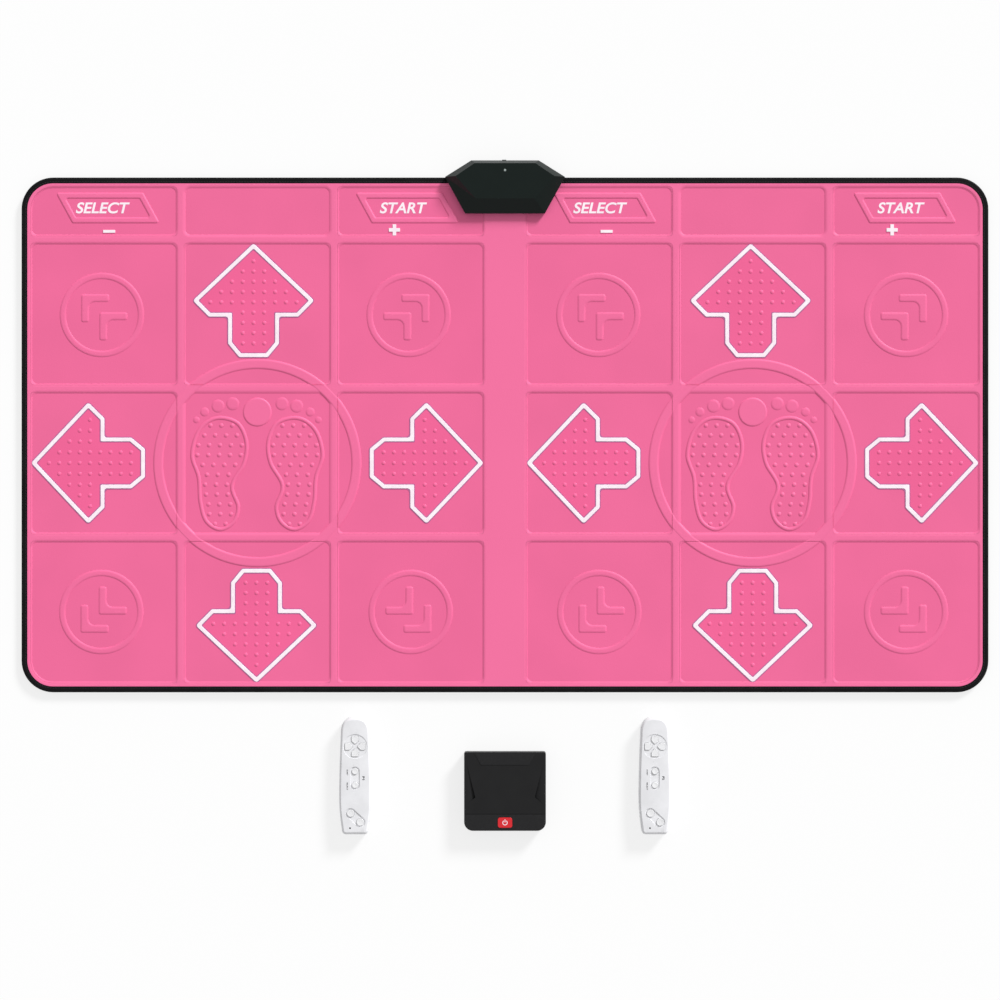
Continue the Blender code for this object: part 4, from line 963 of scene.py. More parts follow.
def tag_frame(field, x, y):
    w, h, s = TAG_W / 2, TAG_H / 2, TAG_SLANT / 2
    points = [(-w + s, -h), (w + s, -h), (w - s, h), (-w - s, h)]
    points = [(px + x + TAG_SHIFT[field], py + y + TAG_RISE) for px, py in points]
    outer = eased(drawn_in(points, -EMBOSS_START), TAG_EASE)
    inner = eased(drawn_in(points, TAG_LINE_W + EMBOSS_START), TAG_INNER_EASE)
    return embossed("tag", [outer, inner])


def lettering(name, words, size, middle, low, high, slant=0.0, bold=0.0, quarter_turns=0):
    """Words as a thin mesh of an exact width and height about a middle."""
    bpy.ops.object.text_add(location=(0.0, 0.0, 0.0))
    text = bpy.context.object
    text.data.body = words
    text.data.shear = slant
    text.data.offset = bold
    text.data.extrude = 0.1     # any thickness will do, because the mesh is scaled
    bpy.ops.object.convert(target="MESH")
    piece = bpy.context.object
    piece.name = name
    bpy.ops.object.origin_set(type="ORIGIN_GEOMETRY", center="BOUNDS")
    spread = piece.dimensions
    piece.scale = (size[0] / spread.x, size[1] / spread.y, (high - low) / spread.z)
    piece.rotation_euler.z = math.radians(90 * quarter_turns)
    piece.location = (*middle, (low + high) / 2)
    return welded(settled(piece))


def sign(field, middle):
    """A minus for select, a plus for start."""
    reach, half = SIGN_L[field] / 2, SIGN_W[field] / 2
    if field == "select":
        points = flat_box((-reach, reach), (-half, half))
    else:
        quarter = [(half, -reach), (half, -half), (reach, -half)]
        points = []
        for _ in range(4):
            points += quarter
            quarter = [(-y, x) for x, y in quarter]
    points = [(x + middle[0], y + middle[1]) for x, y in points]
    return plate("sign", [points], PAD_TOP - PRINT_T / 2, PAD_TOP + SIGN_H)


prints = {}
for field in TAG_SHIFT:
    x = field_middle("p1", field)[0]
    word = lettering(
        f"p1_{field}_word",
        field.upper(),
        (WORD_W[field], WORD_H),
        (x + WORD_SHIFT[field], WORD_Y),
        PAD_TOP - PRINT_T / 2,
        PAD_TOP + PRINT_T,
        WORD_SLANT,
        WORD_BOLD,
    )
    mark = sign(field, (x + SIGN_SHIFT[field], SIGN_Y[field]))
    prints[field] = joined(f"p1_{field}_print", word, mark)
    print(field, "print in mm:", [round(1000 * v, 1) for v in prints[field].dimensions])

# %% [markdown]
# With the figures ready, the twenty pads come from one loop. Every pad gets its plate, its contact
# plate and the figure of its field. Each rides on the body of its own joint, so it sinks alone.

# %% Pads: put together
PAD_RIM = 0.0002
PAD_GROW = 0.0003       # vinyl stretches, so its pads nearly fill their windows
CONTACT_T = 0.0004
CONTACT_REACH = 0.075   # from its middle to its sides
LABEL_CONTACT_REACH = 0.025
FIGURE_SHIFT = {        # of the figures that don't stand in the middle of their field
    "p1_up_pad": (-0.0065, 0.0),
    "p1_down_pad": (-0.0015, 0.0),
    "p2_up_pad": (-0.0035, 0.0),
    "p1_upper_left_pad": (-0.0035, -0.0015),
    "p1_upper_right_pad": (-0.0035, -0.0015),
    "p1_lower_left_pad": (-0.0045, 0.0),
    "p2_upper_left_pad": (-0.0015, -0.0015),
    "p2_upper_right_pad": (0.0, -0.0015),
    "p1_select_pad": (0.0025, 0.0),
    "p1_start_pad": (0.0020, 0.0),
    "p2_select_pad": (0.0060, 0.0),
    "p2_start_pad": (0.0060, 0.0),
}
ARROW_TURNS = {"up": 0, "left": 1, "down": 2, "right": 3}
CORNER_TURNS = {"upper_right": 0, "upper_left": 1, "lower_left": 2, "lower_right": 3}
ARROW_LAYERS = (
    ("arrow_line", arrow_line, white_print, None),
    # the middle layer is the painted shade along the sides of the line
    ("arrow_edge", arrow_edge, painted_welt_shade, None),
    ("arrow_field", arrow_field, deep_vinyl, "pink_skin"),
)


def pad_ground(player, field):
    """The pad's plate, its contact plate below and its share of the ribs' feet."""
    x, y = field_middle(player, field)
    reach = LABEL_CONTACT_REACH if field in TAG_SHIFT else CONTACT_REACH
    contact = rounded_box((x - reach, x + reach), (y - reach, y + reach), [FIELD_R] * 4, 3)
    edge = field_outline(player, field, PAD_GROW)
    border = field_outline(player, field, 2 * RIB_ROUND)
    opening = field_outline(player, field, RIB_FOOT - RIB_START)
    rib_feet = ribs_between("rib_feet", border, [opening])
    return joined(
        "pad_ground",
        plate("pad_top", [edge], skin_low.z, PAD_TOP, PAD_RIM),
        plate("contact", [contact], skin_low.z - CONTACT_T, skin_low.z + CONTACT_T),
        within(rib_feet, edge),
    )


def arrow_shift(player, field):
    """From the arrow drawn at the origin to the field that it points out of."""
    x, y = field_middle(player, field)
    sides = field_sides(player, field)
    turns = ARROW_TURNS[field]
    along = sides[turns % 2 == 0]
    ahead = (along[1] - along[0]) / 2
    turn = math.radians(90 * turns)
    return Vector((x - ahead * math.sin(turn), y + ahead * math.cos(turn), 0.0))


for player in PLAYERS:
    for field in PAD_NAMES:
        body = f"{player}_{field}_pad"
        middle = Vector(field_middle(player, field))
        aside = Vector(FIGURE_SHIFT.get(body, (0.0, 0.0)))
        x, y = middle + aside
        ground = pad_ground(player, field)
        if field in ARROW_TURNS:
            turns = ARROW_TURNS[field]
            inside = field_outline(player, field, -PAD_RIM)
            ring = within(large_ring(player, PAD_TOP + EMBOSS_H), inside)
            pad = joined(f"{body}_skin", ground, ring)
            shift = arrow_shift(player, field) + aside.to_3d()
            for name, figure, finish, slot in ARROW_LAYERS:
                figure = copy_of(figure, f"{player}_{field}_{name}", shift, turns)
                dressed(figure, finish, body, slot)
        elif field in CORNER_TURNS:
            figure = copy_of(corner_figure, "figure", (x, y, 0.0), CORNER_TURNS[field])
            pad = joined(f"{body}_skin", ground, figure)
        else:
            pad = joined(f"{body}_skin", ground, tag_frame(field, x, y))
            across = PLAYER_SHIFT if player == "p2" else 0.0
            shift = (across + aside.x, aside.y, 0.0)
            words = copy_of(prints[field], f"{player}_{field}_words", shift)
            dressed(words, white_print, body, None)
        dressed(pad, pink_vinyl, body, "pink_skin", body)
discard(stud, corner_figure, arrow_line, arrow_edge, arrow_field, *prints.values())
print("pads dressed:", len(PLAYERS) * len(PAD_NAMES))

# %% [markdown]
# The edge is bound with a folded tape: a black woven strip wraps round all the sheets and is sewn
# through. A solid plate with a wide round edge gives the fold, a window leaves the lip on top, and
# a slot makes room for the sheets. The stitches are tiny, so one with few faces is repeated along
# a curve by two modifiers, Array for the row and Curve for the bends.

# %% Edge binding and its seam
FOLD_R = 0.0042
FOLD_STEPS = 6
TAPE_T = 0.0015
LIP_ROUND = 0.0006
SEAM_INSET = 0.0074
STITCH_L = 0.0034
STITCH_W = 0.0009
STITCH_H = 0.8 * STITCH_W
STITCH_PITCH = 0.0046
STITCH_FACETS = 6
STITCH_RINGS = 4


def crossed_waves(tree, turn, scale, distortion=0.0):
    """Two sets of parallel waves at right angles, and of the two the higher at each point."""
    heights = []
    for degrees in (turn, turn + 90):
        point = place_of(tree, turn=math.radians(degrees))
        wave = add_node(tree, "ShaderNodeTexWave", Vector=point, Scale=scale, Distortion=distortion)
        heights.append(wave.outputs["Fac"])
    return maths(tree, "MAXIMUM", *heights)


def black_tape():
    """Woven tape: two crossed waves for the threads, and a little dust on them."""
    material, tree, shader = bare_finish("black_tape", srgb(12, 11, 13), 0.8)
    dust = noise_of(tree, place_of(tree), 25.0, 4.0)
    feed(
        tree,
        shader,
        Base_Color=blend_of(tree, dust, srgb(10, 9, 11), srgb(19, 18, 20)),
        Specular_IOR_Level=0.12,
        Sheen_Weight=0.05,
    )
    bump_of(tree, crossed_waves(tree, -45, 320.0, 0.6), 0.5, 0.0003, shader)
    return material


def thread():
    """Twisted sewing thread, a shade paler than the tape."""
    material, tree, shader = bare_finish("sewing_thread", srgb(30, 29, 32), 0.6)
    point = place_of(tree, turn=math.radians(30))
    twist = add_node(tree, "ShaderNodeTexWave", Vector=point, Scale=900.0).outputs["Fac"]
    feed(tree, shader, Base_Color=blend_of(tree, twist, srgb(24, 23, 26), srgb(40, 39, 42)))
    bump_of(tree, twist, 0.4, 0.0001, shader)
    return material


def where(piece, kind, test, *steps):
    """Runs edit mode operators only on the edges or faces whose points all pass a test."""
    pick(piece)
    bpy.ops.object.mode_set(mode="EDIT")
    bpy.ops.mesh.select_mode(type=kind)
    bpy.ops.mesh.select_all(action="DESELECT")
    bpy.ops.object.mode_set(mode="OBJECT")
    points = piece.data.vertices
    for part in piece.data.edges if kind == "EDGE" else piece.data.polygons:
        part.select = all(test(points[k].co) for k in part.vertices)
    bpy.ops.object.mode_set(mode="EDIT")
    for step in steps:
        step()
    bpy.ops.mesh.select_mode(type="VERT")
    bpy.ops.object.mode_set(mode="OBJECT")
    return piece


binding_top = mat_high.z
binding = plate("binding", [mat_outline(0.0)], mat_low.z, binding_top, FOLD_R, FOLD_STEPS)
carve(binding, plate("opening", [mat_outline(BINDING_W)], -binding_top, 2 * binding_top))
slot_z = (mat_low.z + TAPE_T, binding_top - TAPE_T)
carve(binding, plate("slot", [mat_outline(TAPE_T)], *slot_z, TAPE_T / 2))


def on_lip(point):
    x_inside = abs(point.x) < mat_high.x - BINDING_W / 2
    y_inside = abs(point.y) < mat_high.y - BINDING_W / 2
    return x_inside and y_inside and abs(point.z - binding_top) < WELD


where(
    binding,
    "EDGE",
    on_lip,
    partial(bpy.ops.mesh.bevel, offset=LIP_ROUND, segments=2, affect="EDGES", clamp_overlap=True),
)
dressed(binding, black_tape(), "mat", "black_binding", "edge_binding")

bpy.ops.mesh.primitive_uv_sphere_add(
    segments=STITCH_FACETS, ring_count=STITCH_RINGS, radius=0.5
)
seam = bpy.context.object
seam.name = "seam"
seam.scale = (STITCH_L, STITCH_W, STITCH_H)
settled(seam)
stitch_points = len(seam.data.vertices)
seam_path = outline_curve("seam_path", [mat_outline(SEAM_INSET)])
row = seam.modifiers.new("row", "ARRAY")
row.fit_type = "FIT_CURVE"
row.curve = seam_path
row.use_relative_offset = False
row.use_constant_offset = True
row.constant_offset_displace = (STITCH_PITCH, 0.0, 0.0)
bends = seam.modifiers.new("bends", "CURVE")
bends.object = seam_path
pick(seam)
bpy.ops.object.modifier_apply(modifier="row")
bpy.ops.object.modifier_apply(modifier="bends")
discard(seam_path)
seam.location.z = binding_top
settled(seam)
dressed(seam, thread(), "mat", "black_binding")
print("stitches:", len(seam.data.vertices) // stitch_points, "of", stitch_points, "points")

# %% [markdown]
# Under the skin lie the layers that make the mat work: a rubber underside, foam, a printed contact
# film and a foam spacer with windows. Little of them shows, but a mat is turned over and opened
# too, so each gets its own piece with a rounded rim and the finish of its material.

# %% Underside, foam, film and spacer
SOFT_RIM = 0.0004


def anti_slip():
    """Black rubber with a close net of raised dots."""
    material, tree, shader = bare_finish("anti_slip_rubber", srgb(38, 38, 41), 0.85)
    point = place_of(tree)
    net = add_node(tree, "ShaderNodeTexVoronoi", Vector=point, Scale=160.0, Randomness=0.0)
    dots = net.outputs["Distance"]
    tone = blend_of(tree, dots, srgb(48, 48, 51), srgb(32, 32, 35), 0.1, 0.5)
    feed(tree, shader, Base_Color=tone)
    bump_of(tree, dots, 0.6, 0.0012, shader).invert = True
    return material


def open_foam(name, colour, scale):
    material, tree, shader = bare_finish(name, colour, 0.95)
    voronoi = add_node(tree, "ShaderNodeTexVoronoi", Vector=place_of(tree), Scale=scale)
    cells = voronoi.outputs["Distance"]
    tone = blend_of(tree, cells, shade(colour, 0.75), shade(colour, 1.08), 0.1, 0.6)
    feed(tree, shader, Base_Color=tone)
    bump_of(tree, cells, 0.7, 0.0006, shader)
    return material


def printed_film():
    """Clear film with a printed silver net of conductors."""
    material, tree, shader = bare_finish("contact_film_print", srgb(205, 208, 210), 0.35, 0.2)
    net = crossed_waves(tree, 0, 30.0)
    tone = blend_of(tree, net, srgb(222, 224, 226), srgb(120, 124, 128), 0.9, 0.94)
    feed(tree, shader, Base_Color=tone)
    bump_of(tree, net, 0.2, 0.0001, shader)
    return material


def layer(name, node, inset, material, slot, fields=()):
    """A sheet with a rounded rim over the solid of the same layer."""
    low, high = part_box(node)
    outlines = [mat_outline(inset), *windows(fields, WINDOW_GROW)]
    rim = min(SOFT_RIM, (high.z - low.z) / 4)
    piece = plate(name, outlines, low.z, high.z, rim)
    return dressed(piece, material, "mat", slot, node)


grey_foam = open_foam("grey_open_foam", srgb(150, 150, 153), 900.0)
pale_foam = open_foam("pale_spacer_foam", srgb(232, 232, 229), 1400.0)
layer("underside", "base_sheet", BINDING_W + GAP, anti_slip(), "underside_rubber")
foam = layer("foam", "foam_core", LAYER_INSET, grey_foam, "grey_foam")
layer("spacer", "spacer_sheet", LAYER_INSET, pale_foam, "spacer_foam", PAD_NAMES)
layer("film", "contact_film", LAYER_INSET, printed_film(), "contact_film")
print("layers dressed")

# %% [markdown]
# The handsets, the console and the receiver are moulded plastic. A mould leaves a fine grain, and
# neither the colour nor the gloss is quite even. One recipe serves them all, each with its own
# colour, gloss and grain. Another helper tells a finish where it is on the piece, so that one
# moulding can carry two textures, as on the console's lid.

# %% Finishes of the plastics
WHITE_SHELL = srgb(232, 232, 235)
WHITE_KEY = srgb(236, 236, 238)
BLACK_SHELL = srgb(25, 25, 26)
GREEN_BLACK = srgb(7, 20, 17)
BADGE_RED = srgb(214, 32, 42)
DARK_SPECULAR = 0.25    # black plastic that a white room would turn grey otherwise


def moulded(name, colour, roughness, grain_scale=2200.0, grain_depth=0.00006, specular=0.5):
    material, tree, shader = bare_finish(name, colour, roughness)
    point = place_of(tree)
    cloudy = noise_of(tree, point, 35.0, 3.0)
    feed(
        tree,
        shader,
        Base_Color=blend_of(tree, cloudy, shade(colour, 0.96), shade(colour, 1.03)),
        Roughness=level_of(tree, cloudy, roughness - 0.05, roughness + 0.05),
        Specular_IOR_Level=specular,
    )
    bump_of(tree, noise_of(tree, point, grain_scale, 4.0), 0.3, grain_depth, shader)
    return material


def beyond(tree, axis, edge, blur=0.0001):
    """One where the piece's own X, Y or Z is past an edge, and nought before it."""
    place = add_node(tree, "ShaderNodeSeparateXYZ", Vector=place_of(tree)).outputs[axis]
    low, high = edge - blur, edge + blur
    step = add_node(tree, "ShaderNodeMapRange", Value=place, From_Min=low, From_Max=high)
    return step.outputs["Result"]


white_plastic = moulded("white_shell_plastic", WHITE_SHELL, 0.38)
key_plastic = moulded("white_key_plastic", WHITE_KEY, 0.30, 1500.0)
black_plastic = moulded("black_shell_plastic", BLACK_SHELL, 0.45, specular=DARK_SPECULAR)
receiver_plastic = moulded("receiver_plastic", GREEN_BLACK, 0.36, specular=DARK_SPECULAR)
red_plastic = moulded("red_key_plastic", BADGE_RED, 0.28, 1500.0)
smoked_plastic = moulded("smoked_lens", srgb(14, 14, 16), 0.16, 900.0, 0.00002)
black_ink = moulded("black_ink", srgb(38, 38, 42), 0.5, 3000.0)
rubber = moulded("foot_rubber", srgb(30, 30, 31), 0.8, 700.0, 0.0002)
print("plastics:", len([m for m in bpy.data.materials if "plastic" in m.name]))

# %% [markdown]
# A plastic housing is two half shells that meet at a parting line. Each is drawn as a full plate
# with rounded rims, cut flat at the parting by a bisect, and hollowed by a smaller one. Bars with
# their profile in X and Z are plates too, laid on their side. Sharp edges get a small bevel last,
# because a mould can't make them and light catches on them.

# %% Helpers for housings
SHELL_FAR = 0.020       # from the parting line to the far side of the plate that is cut there
SHELL_STEPS = 6


def half_shell(name, outline, wall, face, parting, rounding):
    """A hollow shell from its flat face to the parting line, above or below it."""
    up = math.copysign(1.0, face - parting)
    far = parting - up * SHELL_FAR
    inner = face - up * wall
    shell = plate(name, [outline(0.0)], min(face, far), max(face, far), rounding, SHELL_STEPS)
    in_edit_mode(shell, cut_level(parting, up))
    inner_z = (min(inner, far), max(inner, far))
    inner_rim = max(rounding - wall, 0.0)
    return carve(shell, plate("hollow", [outline(wall)], *inner_z, inner_rim, SHELL_STEPS))


def lying(name, profile, low, high, rim=0.0):
    """A bar with its profile in X and Z, from one Y to another."""
    bar = plate(name, [profile], -high, -low, rim)
    bar.rotation_euler.x = math.radians(90)
    return settled(bar)


def softened(piece, width, segments=2, angle=40.0):
    """Rounds every sharp edge a little."""
    pick(piece)
    bevel = piece.modifiers.new("soft_edges", "BEVEL")
    bevel.width = width
    bevel.segments = segments
    bevel.limit_method = "ANGLE"
    bevel.angle_limit = math.radians(angle)
    bpy.ops.object.modifier_apply(modifier="soft_edges")
    return piece


# %% [markdown]
# The handset is drawn about its own middle, with its nose to +Y, and copied to its two places at
# the end. Its outline has round corners at the tail, sides that swell to a belly, and a blunt nose.
# The nose is a superellipse, which is rounder than a box and squarer than an ellipse.

# %% Handset: outline and places
HANDSET_H = 0.027
HANDSET_PARTING = 0.0125
HANDSET_WALL = 0.0020
HANDSET_NOSE = 0.100
HANDSET_TAIL = -0.100
SHOULDER_HALF_W = 0.0245
SHOULDER_Y = 0.070
BELLY_HALF_W = 0.0272
BELLY_Y = -0.040
TAIL_HALF_W = 0.0225
TAIL_R = 0.007
TAIL_STEPS = 9
NOSE_POWER = 2.5
CROSS_Y = 0.050
CROSS_REACH = 0.0173
CROSS_HALF_W = 0.0061
CROSS_TIP = 0.0034      # from the middle of the cross to the point of a key
CROSS_EASE = 0.0019     # the radius of a direction key's corners
CROSS_MIDDLE = (CROSS_TIP + CROSS_REACH) / 2
START_AT = (0.0, 0.00775)
SELECT_AT = (0.0, -0.01575)
A_AT = (-0.0075, -0.0637)
B_AT = (0.0088, -0.0788)
MENU_KEY_R = 0.0054
MENU_KEY_STEPS = 32
ACTION_KEY_R = 0.0064
ACTION_KEY_STEPS = 36
HANDSETS = ("handset_1", "handset_2")


def side_half_width(y):
    """Swells from the nose to the belly, and draws in again to the tail."""
    if y > BELLY_Y:
        along = (SHOULDER_Y - y) / (SHOULDER_Y - BELLY_Y)
        return SHOULDER_HALF_W + (BELLY_HALF_W - SHOULDER_HALF_W) * math.sin(along * math.pi / 2)
    along = (BELLY_Y - y) / (BELLY_Y - HANDSET_TAIL - TAIL_R)
    return TAIL_HALF_W + (BELLY_HALF_W - TAIL_HALF_W) * math.cos(along * math.pi / 2)


def handset_outline(inward, steps=18):
    low = HANDSET_TAIL + TAIL_R
    right = arc((TAIL_HALF_W - TAIL_R, low), TAIL_R - inward, -90, 0, TAIL_STEPS)
    for k in range(1, steps):
        y = low + (SHOULDER_Y - low) * k / steps
        right.append((side_half_width(y) - inward, y))
    for k in range(steps):
        angle = math.pi / 2 * k / steps
        x = (SHOULDER_HALF_W - inward) * math.cos(angle) ** (2 / NOSE_POWER)
        y = (HANDSET_NOSE - SHOULDER_Y - inward) * math.sin(angle) ** (2 / NOSE_POWER)
        right.append((x, SHOULDER_Y + y))
    return [*right, (0.0, HANDSET_NOSE - inward), *[(-x, y) for x, y in reversed(right)]]


def handset_place(unit):
    low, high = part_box(f"{unit}_upper_shell")
    return ((low.x + high.x) / 2, (low.y + high.y) / 2, 0.0)


def pentagon(grow):
    """A direction key: square outside, pointed towards the middle of the cross."""
    half, shoulder = CROSS_HALF_W, CROSS_TIP + CROSS_HALF_W
    right = [(half, shoulder), (half, CROSS_REACH)]
    points = [(0, CROSS_TIP), *right, *[(-x, y) for x, y in reversed(right)]]
    points = [(x, y - CROSS_MIDDLE) for x, y in points]
    return eased(drawn_in(points, -grow), CROSS_EASE + grow)


def turned(points, quarter_turns, shift):
    """An outline turned by quarter turns and then moved."""
    turn = Matrix.Rotation(math.radians(90 * quarter_turns), 2)
    return [tuple(turn @ Vector(point) + Vector(shift)) for point in points]


KEYS = {}
for quarter_turns, name in enumerate(("up", "left", "down", "right")):
    middle = turned([(0.0, CROSS_MIDDLE)], quarter_turns, (0.0, CROSS_Y))[0]
    KEYS[name] = (pentagon, quarter_turns, middle)


def menu_key(grow):
    return ring_of(MENU_KEY_R + grow, MENU_KEY_STEPS)


def action_key(grow):
    return ring_of(ACTION_KEY_R + grow, ACTION_KEY_STEPS)


KEYS["start"] = (menu_key, 0, START_AT)
KEYS["select"] = (menu_key, 0, SELECT_AT)
KEYS["a"] = (action_key, 0, A_AT)
KEYS["b"] = (action_key, 0, B_AT)
print("keys on a handset:", {name: place for name, (_, _, place) in KEYS.items()})

# %% [markdown]
# The upper shell is gently crowned from side to side, so it is cut to the top of a very large
# cylinder. Into it go a round dish for the direction keys, two long pockets, the lamp's hole and
# a hole for every key, half a millimetre larger than the key.

# %% Handset: upper shell
UPPER_ROUND = 0.0060
CROWN_R = 0.45
CROWN_ANGLE = 4         # degrees of it on either side
CROWN_STEPS = 20
CROWN_L = 1.2           # handset lengths
DISH_R = 0.0208
DISH_STEPS = 64
DISH_DEPTH = 0.0010
POCKET_DEPTH = 0.0014
MENU_POCKET_R = 0.0080
ACTION_POCKET_R = 0.0088
SLIP = 0.0005           # round a key or a door, so that it moves freely
LAMP_AT = (-0.0085, -0.0890)
HANDSET_LAMP_R = 0.0012
HANDSET_LAMP_STEPS = 24
LIP = 0.00035           # the bevel on an edge of a moulding
PAST = 0.010            # by which a cutter runs out of the piece
SHELL_ANGLE = 24.0      # a shell's edges stay sharp from this angle on


def pill(first, last, radius, steps=18):
    """A long hole with round ends about two points."""
    along = math.degrees(math.atan2(last[1] - first[1], last[0] - first[0]))
    ends = arc(last, radius, along - 90, along + 90, steps)
    return [*ends, *arc(first, radius, along + 90, along + 270, steps)]


upper = half_shell(
    "handset_upper", handset_outline, HANDSET_WALL, HANDSET_H, HANDSET_PARTING + GAP, UPPER_ROUND
)
crown_middle = (0.0, HANDSET_H - CROWN_R)
crown = arc(crown_middle, CROWN_R, 90 - CROWN_ANGLE, 90 + CROWN_ANGLE, CROWN_STEPS)
crown += [(crown[-1][0], -PAST), (crown[0][0], -PAST)]
carve(upper, lying("crown", crown, CROWN_L * HANDSET_TAIL, CROWN_L * HANDSET_NOSE), "INTERSECT")
hollows = [
    ("dish", ring_of(DISH_R, DISH_STEPS, (0.0, CROSS_Y)), DISH_DEPTH),
    ("menu_pocket", pill(START_AT, SELECT_AT, MENU_POCKET_R), POCKET_DEPTH),
    ("action_pocket", pill(A_AT, B_AT, ACTION_POCKET_R), POCKET_DEPTH),
    ("lamp_hole", ring_of(HANDSET_LAMP_R + GAP, HANDSET_LAMP_STEPS, LAMP_AT), PAST),
]
for outline, quarter_turns, middle in KEYS.values():
    hollows.append(("key_hole", turned(outline(SLIP), quarter_turns, middle), PAST))
for name, outline, depth in hollows:
    carve(upper, plate(name, [outline], HANDSET_H - depth, HANDSET_H + PAST))
softened(upper, LIP)
print("upper shell:", len(upper.data.polygons), "faces")

# %% [markdown]
# The lower shell is a tray. The battery bay's box stands in it, with the bosses that carry the
# circuit board, and under the bay a wide channel holds the sliding door. The door is cut from the
# same rounded block as the shell, so its tail continues the shell's.

# %% Handset: lower shell and battery door
LOWER_ROUND = 0.0050
FLOOR_T = 0.0034
BAY_HALF_W = 0.0108
BAY_Y = (-0.073, -0.022)
BAY_TOP = 0.0132
BAY_WALL = 0.0012
BOSS_AT = (0.0145, 0.0665)
BOSS_R = 0.0028
BOSS_STEPS = 16
BOSS_TOP = 0.0162
DOOR_HALF_W = 0.0125
DOOR_END = -0.016
DOOR_FLANGE_W = 0.0012
door_low, door_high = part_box("handset_1_battery_door")
DOOR_STEP = (door_low.z + door_high.z) / 2
GRIP_LINES = 6
GRIP_PITCH = 0.0020
GRIP_DEPTH = 0.0004


def door_section(half_w, low, step, top):
    """The face, and above it the wider flange that runs in a groove."""
    wide = half_w + DOOR_FLANGE_W
    right = [(half_w, low), (half_w, step), (wide, step), (wide, top)]
    left = [(-x, z) for x, z in reversed(right)]
    return [left[-1], *right, *left[:-1]]


def door_channel(half_w, low, high):
    """What a sliding door runs in, with its slack on every side."""
    section = door_section(half_w + SLIP, -PAST, DOOR_STEP - GAP, door_high.z + GAP)
    return lying("channel", section, low, high)


lower = half_shell("handset_lower", handset_outline, FLOOR_T, 0.0, HANDSET_PARTING, LOWER_ROUND)
bay_x = (-BAY_HALF_W, BAY_HALF_W)
walls = flat_box(
    (bay_x[0] - BAY_WALL, bay_x[1] + BAY_WALL), (BAY_Y[0] - BAY_WALL, BAY_Y[1] + BAY_WALL)
)
carve(lower, plate("bay_walls", [walls], FLOOR_T - SEAT, BAY_TOP + BAY_WALL), "UNION")
for sx, sy in product((-1, 1), repeat=2):
    boss = ring_of(BOSS_R, BOSS_STEPS, (sx * BOSS_AT[0], sy * BOSS_AT[1]))
    carve(lower, plate("boss", [boss], FLOOR_T - SEAT, BOSS_TOP), "UNION")
carve(lower, plate("bay", [flat_box(bay_x, BAY_Y)], door_high.z, BAY_TOP))
carve(lower, door_channel(DOOR_HALF_W, HANDSET_TAIL - PAST, DOOR_END + GAP))
softened(lower, LIP)

section = door_section(DOOR_HALF_W, door_low.z, DOOR_STEP, door_high.z)
door = lying("handset_door", section, HANDSET_TAIL, DOOR_END)
block = plate("block", [handset_outline(0.0)], 0.0, SHELL_FAR, LOWER_ROUND, SHELL_STEPS)
carve(door, block, "INTERSECT")
for k in range(GRIP_LINES):
    y = HANDSET_TAIL + TAIL_R + GRIP_PITCH * k
    line = pill((-DOOR_HALF_W / 2, y), (DOOR_HALF_W / 2, y), GRIP_PITCH / 4)
    carve(door, plate("grip", [line], -PAST, door_low.z + GRIP_DEPTH))
softened(door, LIP / 3)
print("lower shell:", len(lower.data.polygons), "faces, door:", len(door.data.polygons))

# %% [markdown]
# Keys come in three kinds: the pentagons of the cross, the two menu keys and the two larger action
# keys. Each has a flange that keeps it under the shell. Its top is hollowed for the fingertip by
# insetting the top face a few times and pushing each new face down a little.

# %% Handset: keys
FLANGE_W = 0.0012
KEY_ROUND = 0.0006
key_low, key_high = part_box("handset_1_key_start")
FLANGE_TOP = HANDSET_H - HANDSET_WALL - GAP


def on_key_top(point):
    return point.z > key_high.z - WELD


def key_cap(name, outline, rings):
    """A cap with its flange; each ring is a distance inwards and a drop."""
    cap = plate(name, [outline(0.0)], key_low.z + WELD, key_high.z, KEY_ROUND, 3)
    steps = [bpy.ops.mesh.dissolve_faces]
    for inward, drop in rings:
        steps.append(partial(bpy.ops.mesh.inset, thickness=inward, depth=0.0))
        steps.append(partial(bpy.ops.transform.translate, value=(0.0, 0.0, -drop)))
    where(cap, "FACE", on_key_top, *steps)
    flange = plate("flange", [outline(FLANGE_W)], key_low.z, FLANGE_TOP, KEY_ROUND / 3, 1)
    return joined(name, cap, flange)


ROUND_RINGS = ((0.0005, 0.0), (0.0010, 0.00012), (0.0012, 0.00008), (0.0010, 0.00003))
CROSS_RINGS = ((0.0004, 0.0), (0.0004, 0.00010), (0.0003, 0.00005))
KEY_CAPS = {
    pentagon: key_cap("cross_key", pentagon, CROSS_RINGS),
    menu_key: key_cap("menu_key", menu_key, ROUND_RINGS),
    action_key: key_cap("action_key", action_key, ROUND_RINGS),
}
print("faces of the three caps:", [len(cap.data.polygons) for cap in KEY_CAPS.values()])

# %% [markdown]
# Small words stand beside the menu keys, printed along the handset, and the player's mark is
# opposite. The lamp is a smoked lens set just below the surface. Then both handsets are put
# together, every key on the body of its own joint.

# %% Handset: words, lamp, and both put together
INK_T = 0.0001
LABEL_X = -0.0132
LABEL_SIZES = {"start": (0.0100, 0.0022), "select": (0.0132, 0.0022)}
LABEL_DROP = 0.0020     # of a word below the middle of its key
LABEL_BOLD = 0.02
MARK_X = 0.0142
MARK_Y = (START_AT[1] + SELECT_AT[1]) / 2
MARK_SIZE = (0.0062, 0.0040)
MARK_BOLD = 0.03
QUARTERS_DOWN = 3       # the words read downwards


def crown_height(x):
    """The height of the crowned shell at some distance from its middle."""
    return HANDSET_H - CROWN_R + math.sqrt(CROWN_R**2 - x**2)


def ink(name, words, size, middle, bold):
    top = crown_height(middle[0])
    return lettering(name, words, size, middle, top - INK_T, top + INK_T, 0.0, bold, QUARTERS_DOWN)


